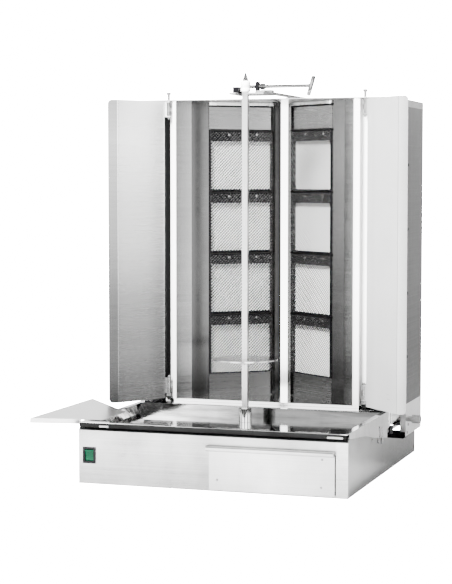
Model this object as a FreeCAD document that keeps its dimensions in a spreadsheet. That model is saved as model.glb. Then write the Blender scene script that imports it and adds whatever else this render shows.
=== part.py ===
# Gas doner kebab grill: a burner tower that slides on a low base, with a turning spit in front.
# Millimetres. X to the right, Y to the back, Z up. The origin is the middle of the base's underside.

import FreeCAD
import Part
import Sketcher
import os
import re

Vector = FreeCAD.Vector
doc = FreeCAD.newDocument("DonerGrill")

# Burner rows, each with its own tap and feed pipe.
rows = 4
# Air holes in each burner's band, and air slots in each row of the back cover.
band_holes = 8
vents = 9

# Driving sizes: name, value in millimetres or degrees, and what it measures.
sizes = [
    ("sheet", 1.2, "steel sheet of the covers, walls and doors"),
    ("gap", 0.3, "running gap between pieces that move past each other"),
    ("shaft_play", 0.05, "radial play of a shaft in its bore"),
    ("over", 1, "how far a cut runs past the face that it opens"),
    ("base_width", 578, "base, left to right"),
    ("base_depth", 630, "base, front to back"),
    ("base_height", 118, "base, top of its front wall"),
    ("floor_sheet", 1.5, "bottom plate of the base and floor plate of the tower"),
    ("front_flange", 16, "folded flange on top of the base's front wall"),
    ("front_round", 6, "rounded front top edge of the base"),
    ("cut_one_back", 153, "side wall: first bend of its sloped edge, from the front"),
    ("cut_one_drop", 14, "side wall: below the base's front wall there"),
    ("cut_two_back", 234, "side wall: second bend"),
    ("cut_two_drop", 29, "side wall: below the front wall there"),
    ("cut_three_back", 345, "side wall: third bend"),
    ("cut_three_drop", 45, "side wall: below the front wall there"),
    ("cut_end_back", 505, "side wall: end of the slope"),
    ("cut_end_drop", 70.5, "side wall: low rear part, below the front wall"),
    ("foot_radius", 16, "rubber pad in the bottom plate"),
    ("foot_height", 4, "rubber pad, height with its inner flange"),
    ("foot_inset", 20.5, "rubber pad, centre from the base's sides"),
    ("foot_ahead", 40, "rubber pad, centre from the base's front and rear"),
    ("foot_flange", 3, "rubber pad, how far its inner flange stands out"),
    ("tray_inset", 1.6, "drip tray's rim, inside the base's sides"),
    ("tower_set", 252, "tower's front plane, ahead of the base's rear; the drip tray ends there"),
    ("tray_stand", 11, "top of the tray's rim, above the base's front wall"),
    ("tray_drop", 19, "inside floor of the tray, below its rim"),
    ("tray_rim", 12, "rim width at the sides"),
    ("tray_front_rim", 15, "rim width at the front"),
    ("tray_back_rim", 53, "rim width at the back"),
    ("tray_slope", 12, "how far the basin's front and side walls lean in"),
    ("apron_front_drop", 29, "tray's side apron, depth at the front"),
    ("apron_back_drop", 63, "tray's side apron, depth at its step"),
    ("apron_step", 28, "tray's side apron, step ahead of its rear end"),
    ("apron_step_drop", 39.5, "tray's side apron, depth behind that step"),
    ("apron_end_drop", 33, "tray's side apron, depth at its rear end"),
    ("seat_bar", 5.5, "black bars under the tray's rim, width"),
    ("seat_post", 10, "rear posts under the tray's bars, square"),
    ("seat_post_in", 38.4, "rear posts, inside the tray's sides"),
    ("drawer_width", 263.5, "drawer front, left to right"),
    ("drawer_inset", 27, "drawer front, inside the base's right side"),
    ("drawer_under", 23.4, "drawer front, top below the base's front wall"),
    ("drawer_bottom", 3, "drawer front, bottom edge"),
    ("drawer_clear", 46, "drawer box, rear end ahead of the spit axis"),
    ("drawer_margin", 8, "how far the drawer front covers the opening"),
    ("drawer_slot", 2.5, "open slot beside the drawer front, at the right"),
    ("drawer_play", 2, "drawer box, beside and above it"),
    ("lip_radius", 6, "rolled lip on top of the drawer front"),
    ("lip_overhang", 4.5, "how far the lip runs past the drawer front at the left"),
    ("runner_width", 15, "drawer runner"),
    ("runner_height", 4, "drawer runner"),
    ("runner_in", 4, "drawer runners, inside the drawer box's sides"),
    ("switch_inset", 10, "switch frame, inside the base's left side"),
    ("switch_bottom", 43, "switch frame, bottom edge"),
    ("switch_width", 28, "switch frame"),
    ("switch_height", 34, "switch frame"),
    ("switch_depth", 24, "switch body behind the wall"),
    ("switch_rim", 4, "switch frame, width of its rim"),
    ("switch_stand", 2.5, "switch frame, how far it stands out"),
    ("rocker_axle", 1.2, "rocker's axle, radius"),
    ("rocker_back", 4, "rocker's axle, behind the base's front"),
    ("rocker_crest", 6, "rocker's raised ends, ahead of its axle"),
    ("rocker_dip", 3.6, "rocker's hollow middle, ahead of its axle"),
    ("rocker_tilt", 9, "rocker, tilt from the middle"),
    ("spit_ahead", 142, "spit axis, ahead of the tower's front plane"),
    ("bar_side", 12, "square spit bar"),
    ("square_play", 0.1, "square bar in its seats, play on each side"),
    ("bar_over", 26, "spit bar, top above the support arm's underside"),
    ("tip_height", 18, "cone on top of the spit"),
    ("tip_radius", 7.2, "cone on top of the spit, radius at its foot"),
    ("tip_end", 1, "cone on top of the spit, radius at its tip"),
    ("disc_radius", 70, "meat disc"),
    ("disc_stand", 118, "meat disc, top face above the tray's rim"),
    ("disc_thick", 3, "meat disc"),
    ("collar_radius", 17, "collar under the meat disc"),
    ("collar_height", 9, "collar under the meat disc"),
    ("socket_radius", 14.2, "drive socket of the spit"),
    ("socket_stand", 29, "drive socket, top above the tray's floor"),
    ("socket_seat", 10, "drive socket, bottom of its square hole above the tray's floor"),
    ("shaft_radius", 8, "drive shaft under the socket"),
    ("sleeve_radius", 10.5, "plastic sleeve on the spit's top"),
    ("sleeve_length", 23, "plastic sleeve"),
    ("gearbox_width", 70, "gearbox, left to right"),
    ("gearbox_depth", 50, "gearbox, front to back"),
    ("gearbox_height", 42, "gearbox"),
    ("gearbox_under", 10, "gearbox, top below the tray's floor"),
    ("gearbox_right", 25, "gearbox, right side from the spit axis"),
    ("gearbox_neck", 17, "gearbox, neck round the shaft"),
    ("gearbox_step", 6, "gearbox, height of its neck and thickness of its floor"),
    ("motor_radius", 22, "motor"),
    ("motor_length", 85, "motor"),
    ("motor_cap", 8, "motor, length of its end cap"),
    ("bracket_sheet", 2, "motor bracket"),
    ("rod_inset", 19, "guide rods, inside the base's sides"),
    ("rod_drop", 42, "guide rods, below the base's front wall"),
    ("rod_radius", 4, "guide rods"),
    ("rod_ahead", 88, "guide rods, front end ahead of the tower's front plane"),
    ("rod_plate", 6, "plates that hold the guide rods"),
    ("rod_plate_in", 8, "those plates, inwards from the rods"),
    ("rod_plate_over", 8, "those plates, above the rods"),
    ("bolt_radius", 5, "bolt heads on the base's sides"),
    ("bolt_head", 2.5, "bolt heads on the base's sides, height"),
    ("bolt_ahead", 122, "those bolts, ahead of the tower's front plane"),
    ("bolt_drop", 39, "those bolts, below the base's front wall"),
    ("stop_radius", 1.5, "upright stop pins on the base's sides"),
    ("stop_top_drop", 13, "stop pins, top below the base's front wall"),
    ("stop_low_drop", 50, "stop pins, lower end below the base's front wall"),
    ("stop_foot", 6, "stop pins, square foot"),
    ("bush_length", 30, "slide carriages, length"),
    ("bush_half", 8, "slide carriages, half of their height"),
    ("bush_side", 6, "slide carriages, half of their width"),
    ("web_thick", 3, "slide carriages, upright web"),
    ("web_in", 4.5, "slide carriages, web inwards from the rod"),
    ("bush_first", 47, "front slide carriages, behind the tower's front plane"),
    ("bush_second", 182, "rear slide carriages, behind the tower's front plane"),
    ("cover_overhang", 2, "tower's side covers, outside the base's sides"),
    ("tower_deep", 309, "tower, front plane to back"),
    ("tower_rise", 6, "top of the tower's floor plate, above the tray's rim"),
    ("cover_drop", 11, "side covers, lower edge below the tower's floor"),
    ("cap_over", 48.7, "side covers, upper edge above the burners, where the roof's edge starts"),
    ("cap_height", 16, "roof, height of its edge"),
    ("roof_sheet", 1.5, "roof plate"),
    ("roof_ahead", 9, "roof's front edge, ahead of the tower's front plane"),
    ("back_return", 15, "side covers, fold at the back"),
    ("flange_front_drop", 39, "tower floor's side flanges, depth at the front"),
    ("flange_back_drop", 22, "tower floor's side flanges, depth at the rear"),
    ("flange_gap", 4, "tower floor's side flanges, end ahead of the skirts"),
    ("vent_width", 8, "air slots in the back cover"),
    ("vent_height", 110, "air slots in the back cover"),
    ("vent_pitch", 44, "air slots, step sideways"),
    ("vent_stand", 40, "lower air slots, above the tower's floor"),
    ("vent_under", 160, "upper air slots, below the side covers' upper edge"),
    ("skirt_deep", 141, "skirts, front edge behind the tower's front plane"),
    ("skirt_drop", 85, "skirts, lower edge below the tower's floor"),
    ("skirt_lip", 13, "skirts, fold at the front"),
    ("skirt_lip_drop", 75, "skirts, lower end of that fold below the tower's floor"),
    ("pin_inset", 63.4, "door hinge pins, inside the tower's sides"),
    ("pin_deep", 0.2, "door hinge pins, behind the tower's front plane"),
    ("pin_radius", 3, "door hinge pins"),
    ("pocket_side", 8.4, "hinge pocket, outer wall from the pin"),
    ("pocket_room", 10.6, "hinge pocket, inner wall from the pin"),
    ("pocket_deep", 15, "hinge pocket, depth"),
    ("fold_one_in", 20.3, "reflector wing, first fold inwards from the pin"),
    ("fold_one_ahead", 8.2, "reflector wing, first fold ahead of the tower's front plane"),
    ("fold_two_in", 49.3, "reflector wing, second fold inwards from the pin"),
    ("fold_two_deep", 15.8, "reflector wing, second fold behind the tower's front plane"),
    ("fold_three_in", 82.8, "reflector wing, edge at the burners, inwards from the pin"),
    ("fold_three_deep", 37.1, "reflector wing, edge at the burners, behind the tower's front plane"),
    ("column_turn", 38.3, "burner columns, turned from the front plane"),
    ("column_inner", 23.3, "burner column, inner edge from the middle plane"),
    ("burner_stand", 53.3, "lowest burner, lower edge above the tower's floor"),
    ("burner_pitch", 139.5, "burners, step upwards"),
    ("seam", 1, "column frames, end short of the sheets beside them"),
    ("burner_joint", 1.5, "gap between two burners"),
    ("burner_rim", 3, "burner, rim at the sides of its window"),
    ("burner_band", 27, "burner, band above its tile"),
    ("burner_sill", 3, "burner, rim below its window"),
    ("burner_depth", 52, "burner box"),
    ("band_hole", 3, "burner, air holes in its band, radius"),
    ("band_pitch", 15, "burner, step of those holes"),
    ("burner_front", 3, "burner, how far it stands in front of its frame"),
    ("burner_inset", 2, "burner box, from the column's edges"),
    ("burner_plate", 2, "burner, thickness of its front plate"),
    ("tile_recess", 12, "ceramic tile, how far it lies behind the burner's face"),
    ("tile_thick", 13, "ceramic tile"),
    ("post_deep", 150, "centre post, behind the tower's front plane"),
    ("post_half", 9, "centre post, half of its flat face"),
    ("manifold_radius", 9, "gas manifold"),
    ("manifold_inset", 29, "gas manifold, inside the tower's side"),
    ("manifold_deep", 12, "gas manifold, behind the tower's front plane"),
    ("tap_deep", 7, "gas taps, behind the tower's front plane"),
    ("tap_rise", 55.7, "lowest gas tap, above the lowest burner's lower edge"),
    ("tap_pitch", 140, "gas taps, step upwards"),
    ("manifold_over", 20, "gas manifold, above the highest tap"),
    ("tap_radius", 9, "gas tap body"),
    ("tap_length", 12, "gas tap body outside the cover"),
    ("stem_radius", 4, "gas tap stem"),
    ("stub_radius", 5, "gas tap body inside the cover, radius"),
    ("lever_height", 8, "gas tap lever"),
    ("lever_width", 10, "gas tap lever, along the stem"),
    ("lever_reach", 30, "gas tap lever, from the stem to its tip"),
    ("lever_tail", 9, "gas tap lever, past the stem"),
    ("tap_seat", 2, "gas tap, bottom of its bore outside the cover"),
    ("lever_stand", 27, "gas tap lever, outer face from the tower's side"),
    ("inlet_deep", 150, "gas inlet, behind the tower's front plane"),
    ("inlet_drop", 45, "gas inlet, below the tower's floor"),
    ("inlet_hole", 10, "hole in the tower's floor for the gas pipe, radius"),
    ("inlet_radius", 6.25, "gas inlet pipe"),
    ("inlet_stand", 33, "gas inlet, end from the tower's side"),
    ("inlet_nut", 20, "gas inlet, length of its end nut"),
    ("inlet_flat", 17, "gas inlet, end nut across its flats"),
    ("inlet_depth", 15, "gas inlet, depth of its bore"),
    ("inlet_wall", 1.5, "gas inlet, wall of the pipe"),
    ("inlet_run", 22, "gas inlet pipe's run to the manifold, above the tower's floor"),
    ("elbow_swell", 1, "pipe elbows, swell over their pipe"),
    ("feed_radius", 4, "feed pipes of the burners"),
    ("feed_deep", 187, "feed pipes, behind the tower's front plane"),
    ("injector_radius", 7, "injector bosses on the burners' backs"),
    ("boss_length", 12, "injector bosses on the burners' backs"),
    ("door_start", 13, "door panel, first edge from the pin"),
    ("door_width", 140, "door panel, fold from the pin"),
    ("door_flange", 22, "door's outer flange"),
    ("flange_turn", 30, "door's outer flange, turned outwards"),
    ("door_under", 3, "doors, upper edge below the roof's top"),
    ("door_corner", 9, "doors, rounded corners of the flange"),
    ("left_door_angle", 56.75, "left door at rest, from pointing straight left"),
    ("right_door_angle", 46, "right door at rest, from pointing straight right"),
    ("eye_half", 4, "hinge eyes, half width"),
    ("eye_sheet", 2, "hinge eyes, thickness"),
    ("eye_rim", 4.6, "hinge eyes, outer radius"),
    ("eye_lift", 12, "lower hinge eyes, above the door's lower edge"),
    ("strap_start", 6, "hinge straps, start from the pin"),
    ("strap_length", 32, "hinge straps"),
    ("pin_rise", 17, "upper hinge pins, above the roof"),
    ("pin_head", 5, "hinge pins' heads, radius and height"),
    ("foot_rise", 1.5, "lower hinge pins, above the tray"),
    ("foot_cone", 9.5, "lower hinge pins, height of their cone"),
    ("foot_ring", 6.8, "lower hinge pins, ring above the cone, radius"),
    ("foot_ring_high", 6, "that ring, height"),
    ("eye_pair", 35, "hinge eyes, height of a pair"),
    ("lug_height", 12, "fixed hinge lugs"),
    ("arm_left", 30.5, "support arm, left edge"),
    ("arm_width", 18, "support arm"),
    ("arm_thick", 4, "support arm"),
    ("arm_stand", 5, "support arm, underside above the roof"),
    ("arm_ahead", 21, "support arm, front end ahead of the spit axis"),
    ("arm_deep", 222, "support arm, rear end behind the tower's front plane"),
    ("spacer_deep", 72, "spacer between roof and arm, front end behind the tower's front plane"),
    ("spacer_over", 4, "spacer, wider than the arm on each side"),
    ("jaw_left", 24, "bearing, left side from the spit axis"),
    ("jaw_right", 30.2, "bearing, right side from the spit axis"),
    ("jaw_half", 15, "bearing's left jaw, half of its depth"),
    ("jaw_low_over", 13, "bearing's left jaw, top above the arm's underside"),
    ("jaw_top_over", 24, "bearing's threaded upright, top above the arm's underside"),
    ("slide_plate", 4, "plate under the bearing block"),
    ("plate_ahead", 39, "that plate, ahead of the spit axis"),
    ("plate_behind", 40, "that plate, behind the spit axis"),
    ("keeper", 3, "strap that keeps the plate on the arm"),
    ("keeper_length", 20, "that strap, along the arm"),
    ("nut_facing", 0.8, "lock nut, its washer face"),
    ("screw_over", 13.5, "clamp screw, above the arm's underside"),
    ("screw_radius", 4, "clamp screw, threaded part"),
    ("screw_thread_end", 58, "clamp screw, end of its thread"),
    ("grip_out", 145, "clamp screw, middle of its cross grip"),
    ("grip_rod_radius", 3.5, "clamp screw, plain rod"),
    ("grip_radius", 4.5, "clamp screw, cross grip"),
    ("grip_length", 54, "clamp screw, cross grip"),
    ("grip_tilt", 45, "clamp screw, cross grip turned at rest"),
    ("upright_thick", 6, "bearing's threaded upright, thickness"),
    ("upright_half", 8, "bearing's threaded upright, half of its depth"),
    ("nut_start", 34, "lock nut, from the middle plane"),
    ("nut_thick", 9, "lock nut"),
    ("nut_flat", 13, "lock nut, across its flats"),
    ("shovel_outer", 330, "meat shovel, wide edge"),
    ("shovel_inner", 127, "meat shovel, narrow edge"),
    ("shovel_length", 122, "meat shovel, from edge to edge"),
    ("shovel_reach", 22, "meat shovel, how far it reaches past the rim's inner edge"),
    ("shovel_stop", 4, "meat shovel, its lips end short of the tray's edge"),
    ("shovel_back", 112, "meat shovel, its middle from the base's front"),
    ("shovel_tilt", 5.5, "meat shovel, tilt on the tray's rim"),
    ("shovel_lip", 9, "meat shovel, folded lips along its sides"),
    ("gland_radius", 9, "cable gland on the base's back"),
    ("gland_length", 16, "cable gland"),
    ("gland_stem", 6.3, "cable gland, radius in the wall"),
    ("gland_bore", 3.6, "cable gland, radius of its bore"),
    ("gland_inset", 89, "cable gland, inside the base's left side"),
    ("gland_high", 24, "cable gland, height"),
]

# Places that follow from the driving sizes. Depths are measured back from the base's front face,
# and heights up from its underside.
derived = {
    "cut_one_high": "base_height - cut_one_drop",
    "cut_two_high": "base_height - cut_two_drop",
    "cut_three_high": "base_height - cut_three_drop",
    "cut_end_high": "base_height - cut_end_drop",
    "drawer_top": "base_height - drawer_under",
    "rod_high": "base_height - rod_drop",
    "bolt_high": "base_height - bolt_drop",
    "stop_top": "base_height - stop_top_drop",
    "stop_low": "base_height - stop_low_drop",
    "tray_top": "base_height + tray_stand",
    "tray_floor": "tray_top - tray_drop",
    "apron_front": "tray_top - apron_front_drop",
    "apron_back": "tray_top - apron_back_drop",
    "apron_step_high": "tray_top - apron_step_drop",
    "apron_end": "tray_top - apron_end_drop",
    "gearbox_top": "tray_floor - gearbox_under",
    "gearbox_bottom": "gearbox_top - gearbox_height",
    "socket_top": "tray_floor + socket_stand",
    "socket_floor": "tray_floor + socket_seat",
    "disc_height": "tray_top + disc_stand",
    "tower_floor": "tray_top + tower_rise",
    "cover_bottom": "tower_floor - cover_drop",
    "skirt_bottom": "tower_floor - skirt_drop",
    "skirt_lip_bottom": "tower_floor - skirt_lip_drop",
    "flange_front": "tower_floor - flange_front_drop",
    "flange_back": "tower_floor - flange_back_drop",
    "inlet_high": "tower_floor - inlet_drop",
    "burner_first": "tower_floor + burner_stand",
    "burner_top": "burner_first + %d * burner_pitch" % rows,
    "tap_first": "burner_first + tap_rise",
    "cap_bottom": "burner_top + cap_over",
    "roof_top": "cap_bottom + cap_height",
    "roof_under": "roof_top - roof_sheet",
    "door_bottom": "tower_floor",
    "door_top": "roof_top - door_under",
    "arm_bottom": "roof_top + arm_stand",
    "bar_top": "arm_bottom + bar_over",
    "sleeve_bottom": "bar_top - sleeve_length",
    "screw_high": "arm_bottom + screw_over",
    "jaw_low": "arm_bottom + jaw_low_over",
    "jaw_top": "arm_bottom + jaw_top_over",
    "tray_width": "base_width - 2 * tray_inset",
    "tray_depth": "base_depth - tower_set",
    "tower_front": "tray_depth",
    "tower_width": "base_width + 2 * cover_overhang",
    "tower_back": "tower_front + tower_deep",
    "roof_front": "tower_front - roof_ahead",
    "skirt_front": "tower_front + skirt_deep",
    "spit_back": "tower_front - spit_ahead",
    "drawer_depth": "spit_back - drawer_clear",
    "rod_out": "base_width / 2 - rod_inset",
    "rod_start": "tower_front - rod_ahead",
    "drawer_right": "base_width / 2 - drawer_inset",
    "drawer_left": "drawer_right - drawer_width",
    "switch_left": "switch_inset - base_width / 2",
    "gland_out": "base_width / 2 - gland_inset",
    "pin_out": "tower_width / 2 - pin_inset",
    "pin_back": "tower_front + pin_deep",
    "pocket_out": "pin_out + pocket_side",
    "pocket_in": "pin_out - pocket_room",
    "fold_one_out": "pin_out - fold_one_in",
    "fold_one_back": "tower_front - fold_one_ahead",
    "fold_two_out": "pin_out - fold_two_in",
    "fold_two_back": "tower_front + fold_two_deep",
    "fold_three_out": "pin_out - fold_three_in",
    "fold_three_back": "tower_front + fold_three_deep",
    "column_width": "(fold_three_out - column_inner) / cos(column_turn)",
    "column_back": "fold_three_back + column_width * sin(column_turn)",
    "post_back": "tower_front + post_deep",
    "manifold_out": "tower_width / 2 - manifold_inset",
    "manifold_back": "tower_front + manifold_deep",
    "tap_back": "tower_front + tap_deep",
    "lever_end": "tower_width / 2 + lever_stand",
    "inlet_back": "tower_front + inlet_deep",
    "inlet_end": "tower_width / 2 + inlet_stand",
    "feed_back": "tower_front + feed_deep",
    "arm_front": "spit_back - arm_ahead",
    "arm_back": "tower_front + arm_deep",
    "spacer_front": "tower_front + spacer_deep",
    "slide_plate_front": "spit_back - plate_ahead",
    "slide_plate_back": "spit_back + plate_behind",
    "cover_in": "tower_width / 2 - sheet",
}

dim = doc.addObject("Spreadsheet::Sheet", "Dim")
names = set()
for row, (alias, number, note) in enumerate(sizes, start=1):
    dim.set("A%d" % row, note)
    dim.set("B%d" % row, str(number))
    dim.setAlias("B%d" % row, alias)
    names.add(alias)
doc.recompute()


def cells(text):
    # The same formula with each size's name pointing at its cell, and each derived place written out.
    def put(found):
        name = found.group()
        if name in derived:
            return "(%s)" % cells(derived[name])
        return "Dim." + name if name in names else name

    return re.sub(r"[a-z][a-z_]*", put, str(text))


def value(text):
    # The formula's value now.
    found = dim.evalExpression(cells(text))
    return float(getattr(found, "Value", found))


def bind(thing, prop, text):
    thing.setExpression(prop, cells(text))


def from_front(distance):
    # The Y coordinate of a place that is measured back from the base's front face.
    return "(%s - base_depth / 2)" % distance


def on_side(side, distance):
    # The X coordinate at a distance from the middle plane, to the left (-1) or right (1).
    return "(%d * (%s))" % (side, distance)


def place(thing, x="0", y="0", z="0", axis=None, turn=None):
    if axis is not None:
        thing.Placement = FreeCAD.Placement(Vector(), FreeCAD.Rotation(Vector(*axis), 1))
        bind(thing, "Placement.Rotation.Angle", turn)
    for letter, text in (("x", x), ("y", y), ("z", z)):
        bind(thing, "Placement.Base." + letter, text)
    return thing


def block(name, x, y, z):
    # A box between two places along each axis.
    thing = doc.addObject("Part::Box", name)
    for prop, letter, (low, high) in (("Length", "x", x), ("Width", "y", y), ("Height", "z", z)):
        bind(thing, prop, "(%s) - (%s)" % (high, low))
        bind(thing, "Placement.Base." + letter, low)
    return thing


def rod(name, radius, along, ends, centre):
    # A round bar between two places along one axis, about a centre in the other two.
    thing = doc.addObject("Part::Cylinder", name)
    bind(thing, "Radius", radius)
    bind(thing, "Height", "(%s) - (%s)" % (ends[1], ends[0]))
    turns = {"x": Vector(1, 0, 0), "y": Vector(0, 1, 0), "z": Vector(0, 0, 1)}
    thing.Placement = FreeCAD.Placement(Vector(), FreeCAD.Rotation(Vector(0, 0, 1), turns[along]))
    others = [letter for letter in "xyz" if letter != along]
    bind(thing, "Placement.Base." + along, ends[0])
    bind(thing, "Placement.Base." + others[0], centre[0])
    bind(thing, "Placement.Base." + others[1], centre[1])
    return thing


def cut(name, base, tools):
    for number, tool in enumerate(tools, start=1):
        last = number == len(tools)
        thing = doc.addObject("Part::Cut", name if last else "%s_step%d" % (name, number))
        thing.Base = base
        thing.Tool = tool
        base = thing
    return base


def fuse(name, things):
    thing = doc.addObject("Part::MultiFuse", name)
    thing.Shapes = things
    thing.Refine = True
    return thing


def group(name, things):
    # Separate solids that share one node.
    thing = doc.addObject("Part::Compound", name)
    thing.Links = things
    return thing


def outline(sketch, points, closed=True):
    # Straight edges through points whose coordinates are bound to the sheet.
    here = [(value(x), value(y)) for x, y in points]
    first = sketch.GeometryCount
    count = len(points) if closed else len(points) - 1
    for number in range(count):
        start = Vector(*here[number], 0)
        end = Vector(*here[(number + 1) % len(points)], 0)
        sketch.addGeometry(Part.LineSegment(start, end), False)
    for number in range(count if closed else count - 1):
        following = first + (number + 1) % count
        sketch.addConstraint(Sketcher.Constraint("Coincident", first + number, 2, following, 1))
    for number, (x, y) in enumerate(points):
        corner = (first + number, 1) if number < count else (first + count - 1, 2)
        for kind, text, number_now in (("DistanceX", x, here[number][0]), ("DistanceY", y, here[number][1])):
            added = sketch.addConstraint(Sketcher.Constraint(kind, -1, 1, corner[0], corner[1], number_now))
            bind(sketch, "Constraints[%d]" % added, text)


def ring(sketch, x, y, radius):
    circle = sketch.addGeometry(Part.Circle(Vector(value(x), value(y), 0), Vector(0, 0, 1), value(radius)),
                                False)
    rules = (("DistanceX", (-1, 1, circle, 3), x), ("DistanceY", (-1, 1, circle, 3), y),
             ("Radius", (circle,), radius))
    for kind, where, text in rules:
        added = sketch.addConstraint(Sketcher.Constraint(kind, *where, value(text)))
        bind(sketch, "Constraints[%d]" % added, text)


def frame(x, y):
    # The corners of a rectangle between two places along each sketch axis.
    return [(x[0], y[0]), (x[1], y[0]), (x[1], y[1]), (x[0], y[1])]


def new_body(name):
    return doc.addObject("PartDesign::Body", name)


def sketch_on(body, name, role, offset="0"):
    plane = [flat for flat in body.Origin.OriginFeatures if flat.Role == role][0]
    sketch = body.newObject("Sketcher::SketchObject", name)
    sketch.AttachmentSupport = (plane, [""])
    sketch.MapMode = "FlatFace"
    bind(sketch, "AttachmentOffset.Base.z", offset)
    return sketch


def pad(body, sketch, length):
    thing = body.newObject("PartDesign::Pad", sketch.Name + "_pad")
    thing.Profile = sketch
    bind(thing, "Length", length)
    return thing


def pocket(body, sketch, depth, reverse=False):
    # A cut against the sketch's normal, or along it when reversed.
    thing = body.newObject("PartDesign::Pocket", sketch.Name + "_pocket")
    thing.Profile = sketch
    bind(thing, "Length", depth)
    thing.Reversed = reverse
    return thing


def loft(body, kind, sketches):
    thing = body.newObject("PartDesign::" + kind, sketches[0].Name + "_loft")
    thing.Profile = sketches[0]
    thing.Sections = sketches[1:]
    thing.Ruled = True
    return thing


def bent_sheet(name, points, thick, bottom, top):
    # A sheet folded along a line in plan, between two heights. A negative thickness lies on the other side.
    path = doc.addObject("Sketcher::SketchObject", name + "_line")
    outline(path, points, closed=False)
    doc.recompute()
    band = doc.addObject("Part::Offset2D", name + "_band")
    band.Source = path
    band.Fill = True
    band.Join = 2
    band.Mode = 0
    bind(band, "Value", thick)
    solid = doc.addObject("Part::Extrusion", name)
    solid.Base = band
    solid.DirMode = "Custom"
    solid.Dir = (0, 0, 1)
    solid.Solid = True
    bind(solid, "LengthFwd", "(%s) - (%s)" % (top, bottom))
    place(solid, z=bottom)
    return solid


def side_plate(name, low, points):
    # An upright sheet that faces sideways: its outline in Y and Z, starting at the X coordinate low.
    body = new_body(name)
    side = sketch_on(body, name + "_side", "YZ_Plane", low)
    outline(side, points)
    pad(body, side, "sheet")
    return body


kept = []


def keep(thing, label):
    thing.Label = label
    kept.append(thing)
    return thing


front = "(-base_depth / 2)"
rear = "(base_depth / 2)"
spit_y = from_front("spit_back")


# Base

def base_shell():
    # The side outline carried from left to right, hollowed to the sheet's thickness, with an open top.
    body = new_body("base_shell_body")
    side = sketch_on(body, "base_side", "YZ_Plane", "-base_width / 2")
    outline(side, [
        (front, "0"), (rear, "0"), (rear, "cut_end_high"),
        (from_front("cut_end_back"), "cut_end_high"), (from_front("cut_three_back"), "cut_three_high"),
        (from_front("cut_two_back"), "cut_two_high"), (from_front("cut_one_back"), "cut_one_high"),
        (from_front("front_round"), "base_height"), (front, "base_height - front_round"),
    ])
    pad(body, side, "base_width")
    inner = sketch_on(body, "base_hollow", "YZ_Plane", "-base_width / 2 + sheet")
    top = "base_height - sheet"
    outline(inner, [
        (from_front("sheet"), "-over"), ("%s - sheet" % rear, "-over"),
        ("%s - sheet" % rear, "base_height + over"),
        (from_front("front_flange"), "base_height + over"), (from_front("front_flange"), top),
        (from_front("front_round + sheet / 2"), top),
        (from_front("sheet"), "base_height - front_round - sheet / 2"),
    ])
    pocket(body, inner, "base_width - 2 * sheet", reverse=True)
    windows = sketch_on(body, "base_windows", "XZ_Plane", "base_depth / 2 + over")
    outline(windows, frame(("drawer_left + drawer_margin", "drawer_right + drawer_slot"),
                           ("drawer_bottom + drawer_play", "drawer_top - drawer_margin")))
    outline(windows, frame(("switch_left + sheet", "switch_left + switch_width - sheet"),
                           ("switch_bottom + sheet", "switch_bottom + switch_height - sheet")))
    pocket(body, windows, "sheet + 2 * over")
    gland = sketch_on(body, "gland_hole", "XZ_Plane", "-base_depth / 2 + sheet + over")
    ring(gland, "-gland_out", "gland_high", "gland_stem + gap / 2")
    pocket(body, gland, "sheet + 2 * over")
    keep(body, "base_shell")


def base_floor():
    inside = "base_width / 2 - sheet"
    plate = block("base_plate", ("-(%s)" % inside, inside), (front + " + sheet", rear + " - sheet"),
                  ("0", "floor_sheet"))
    holes = [rod("pad_hole_%d" % number, "foot_radius + gap", "z", ("-over", "floor_sheet + over"), centre)
             for number, centre in enumerate(foot_places())]
    keep(cut("base_plate_solid", plate, holes), "base_floor")


def foot_places():
    return [("%d * (base_width / 2 - foot_inset)" % side_x, "%d * (base_depth / 2 - foot_ahead)" % side_y)
            for side_x in (-1, 1) for side_y in (-1, 1)]


def feet():
    # Rubber pads let into the bottom plate, flush with its underside and flanged inside.
    made = []
    for number, centre in enumerate(foot_places()):
        pad_disc = rod("pad_disc_%d" % number, "foot_radius", "z", ("0", "foot_height"), centre)
        flange = rod("pad_flange_%d" % number, "foot_radius + foot_flange", "z",
                     ("floor_sheet", "foot_height"), centre)
        made.append(fuse("foot_pad_%d" % number, [pad_disc, flange]))
    keep(group("feet_group", made), "feet")


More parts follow.
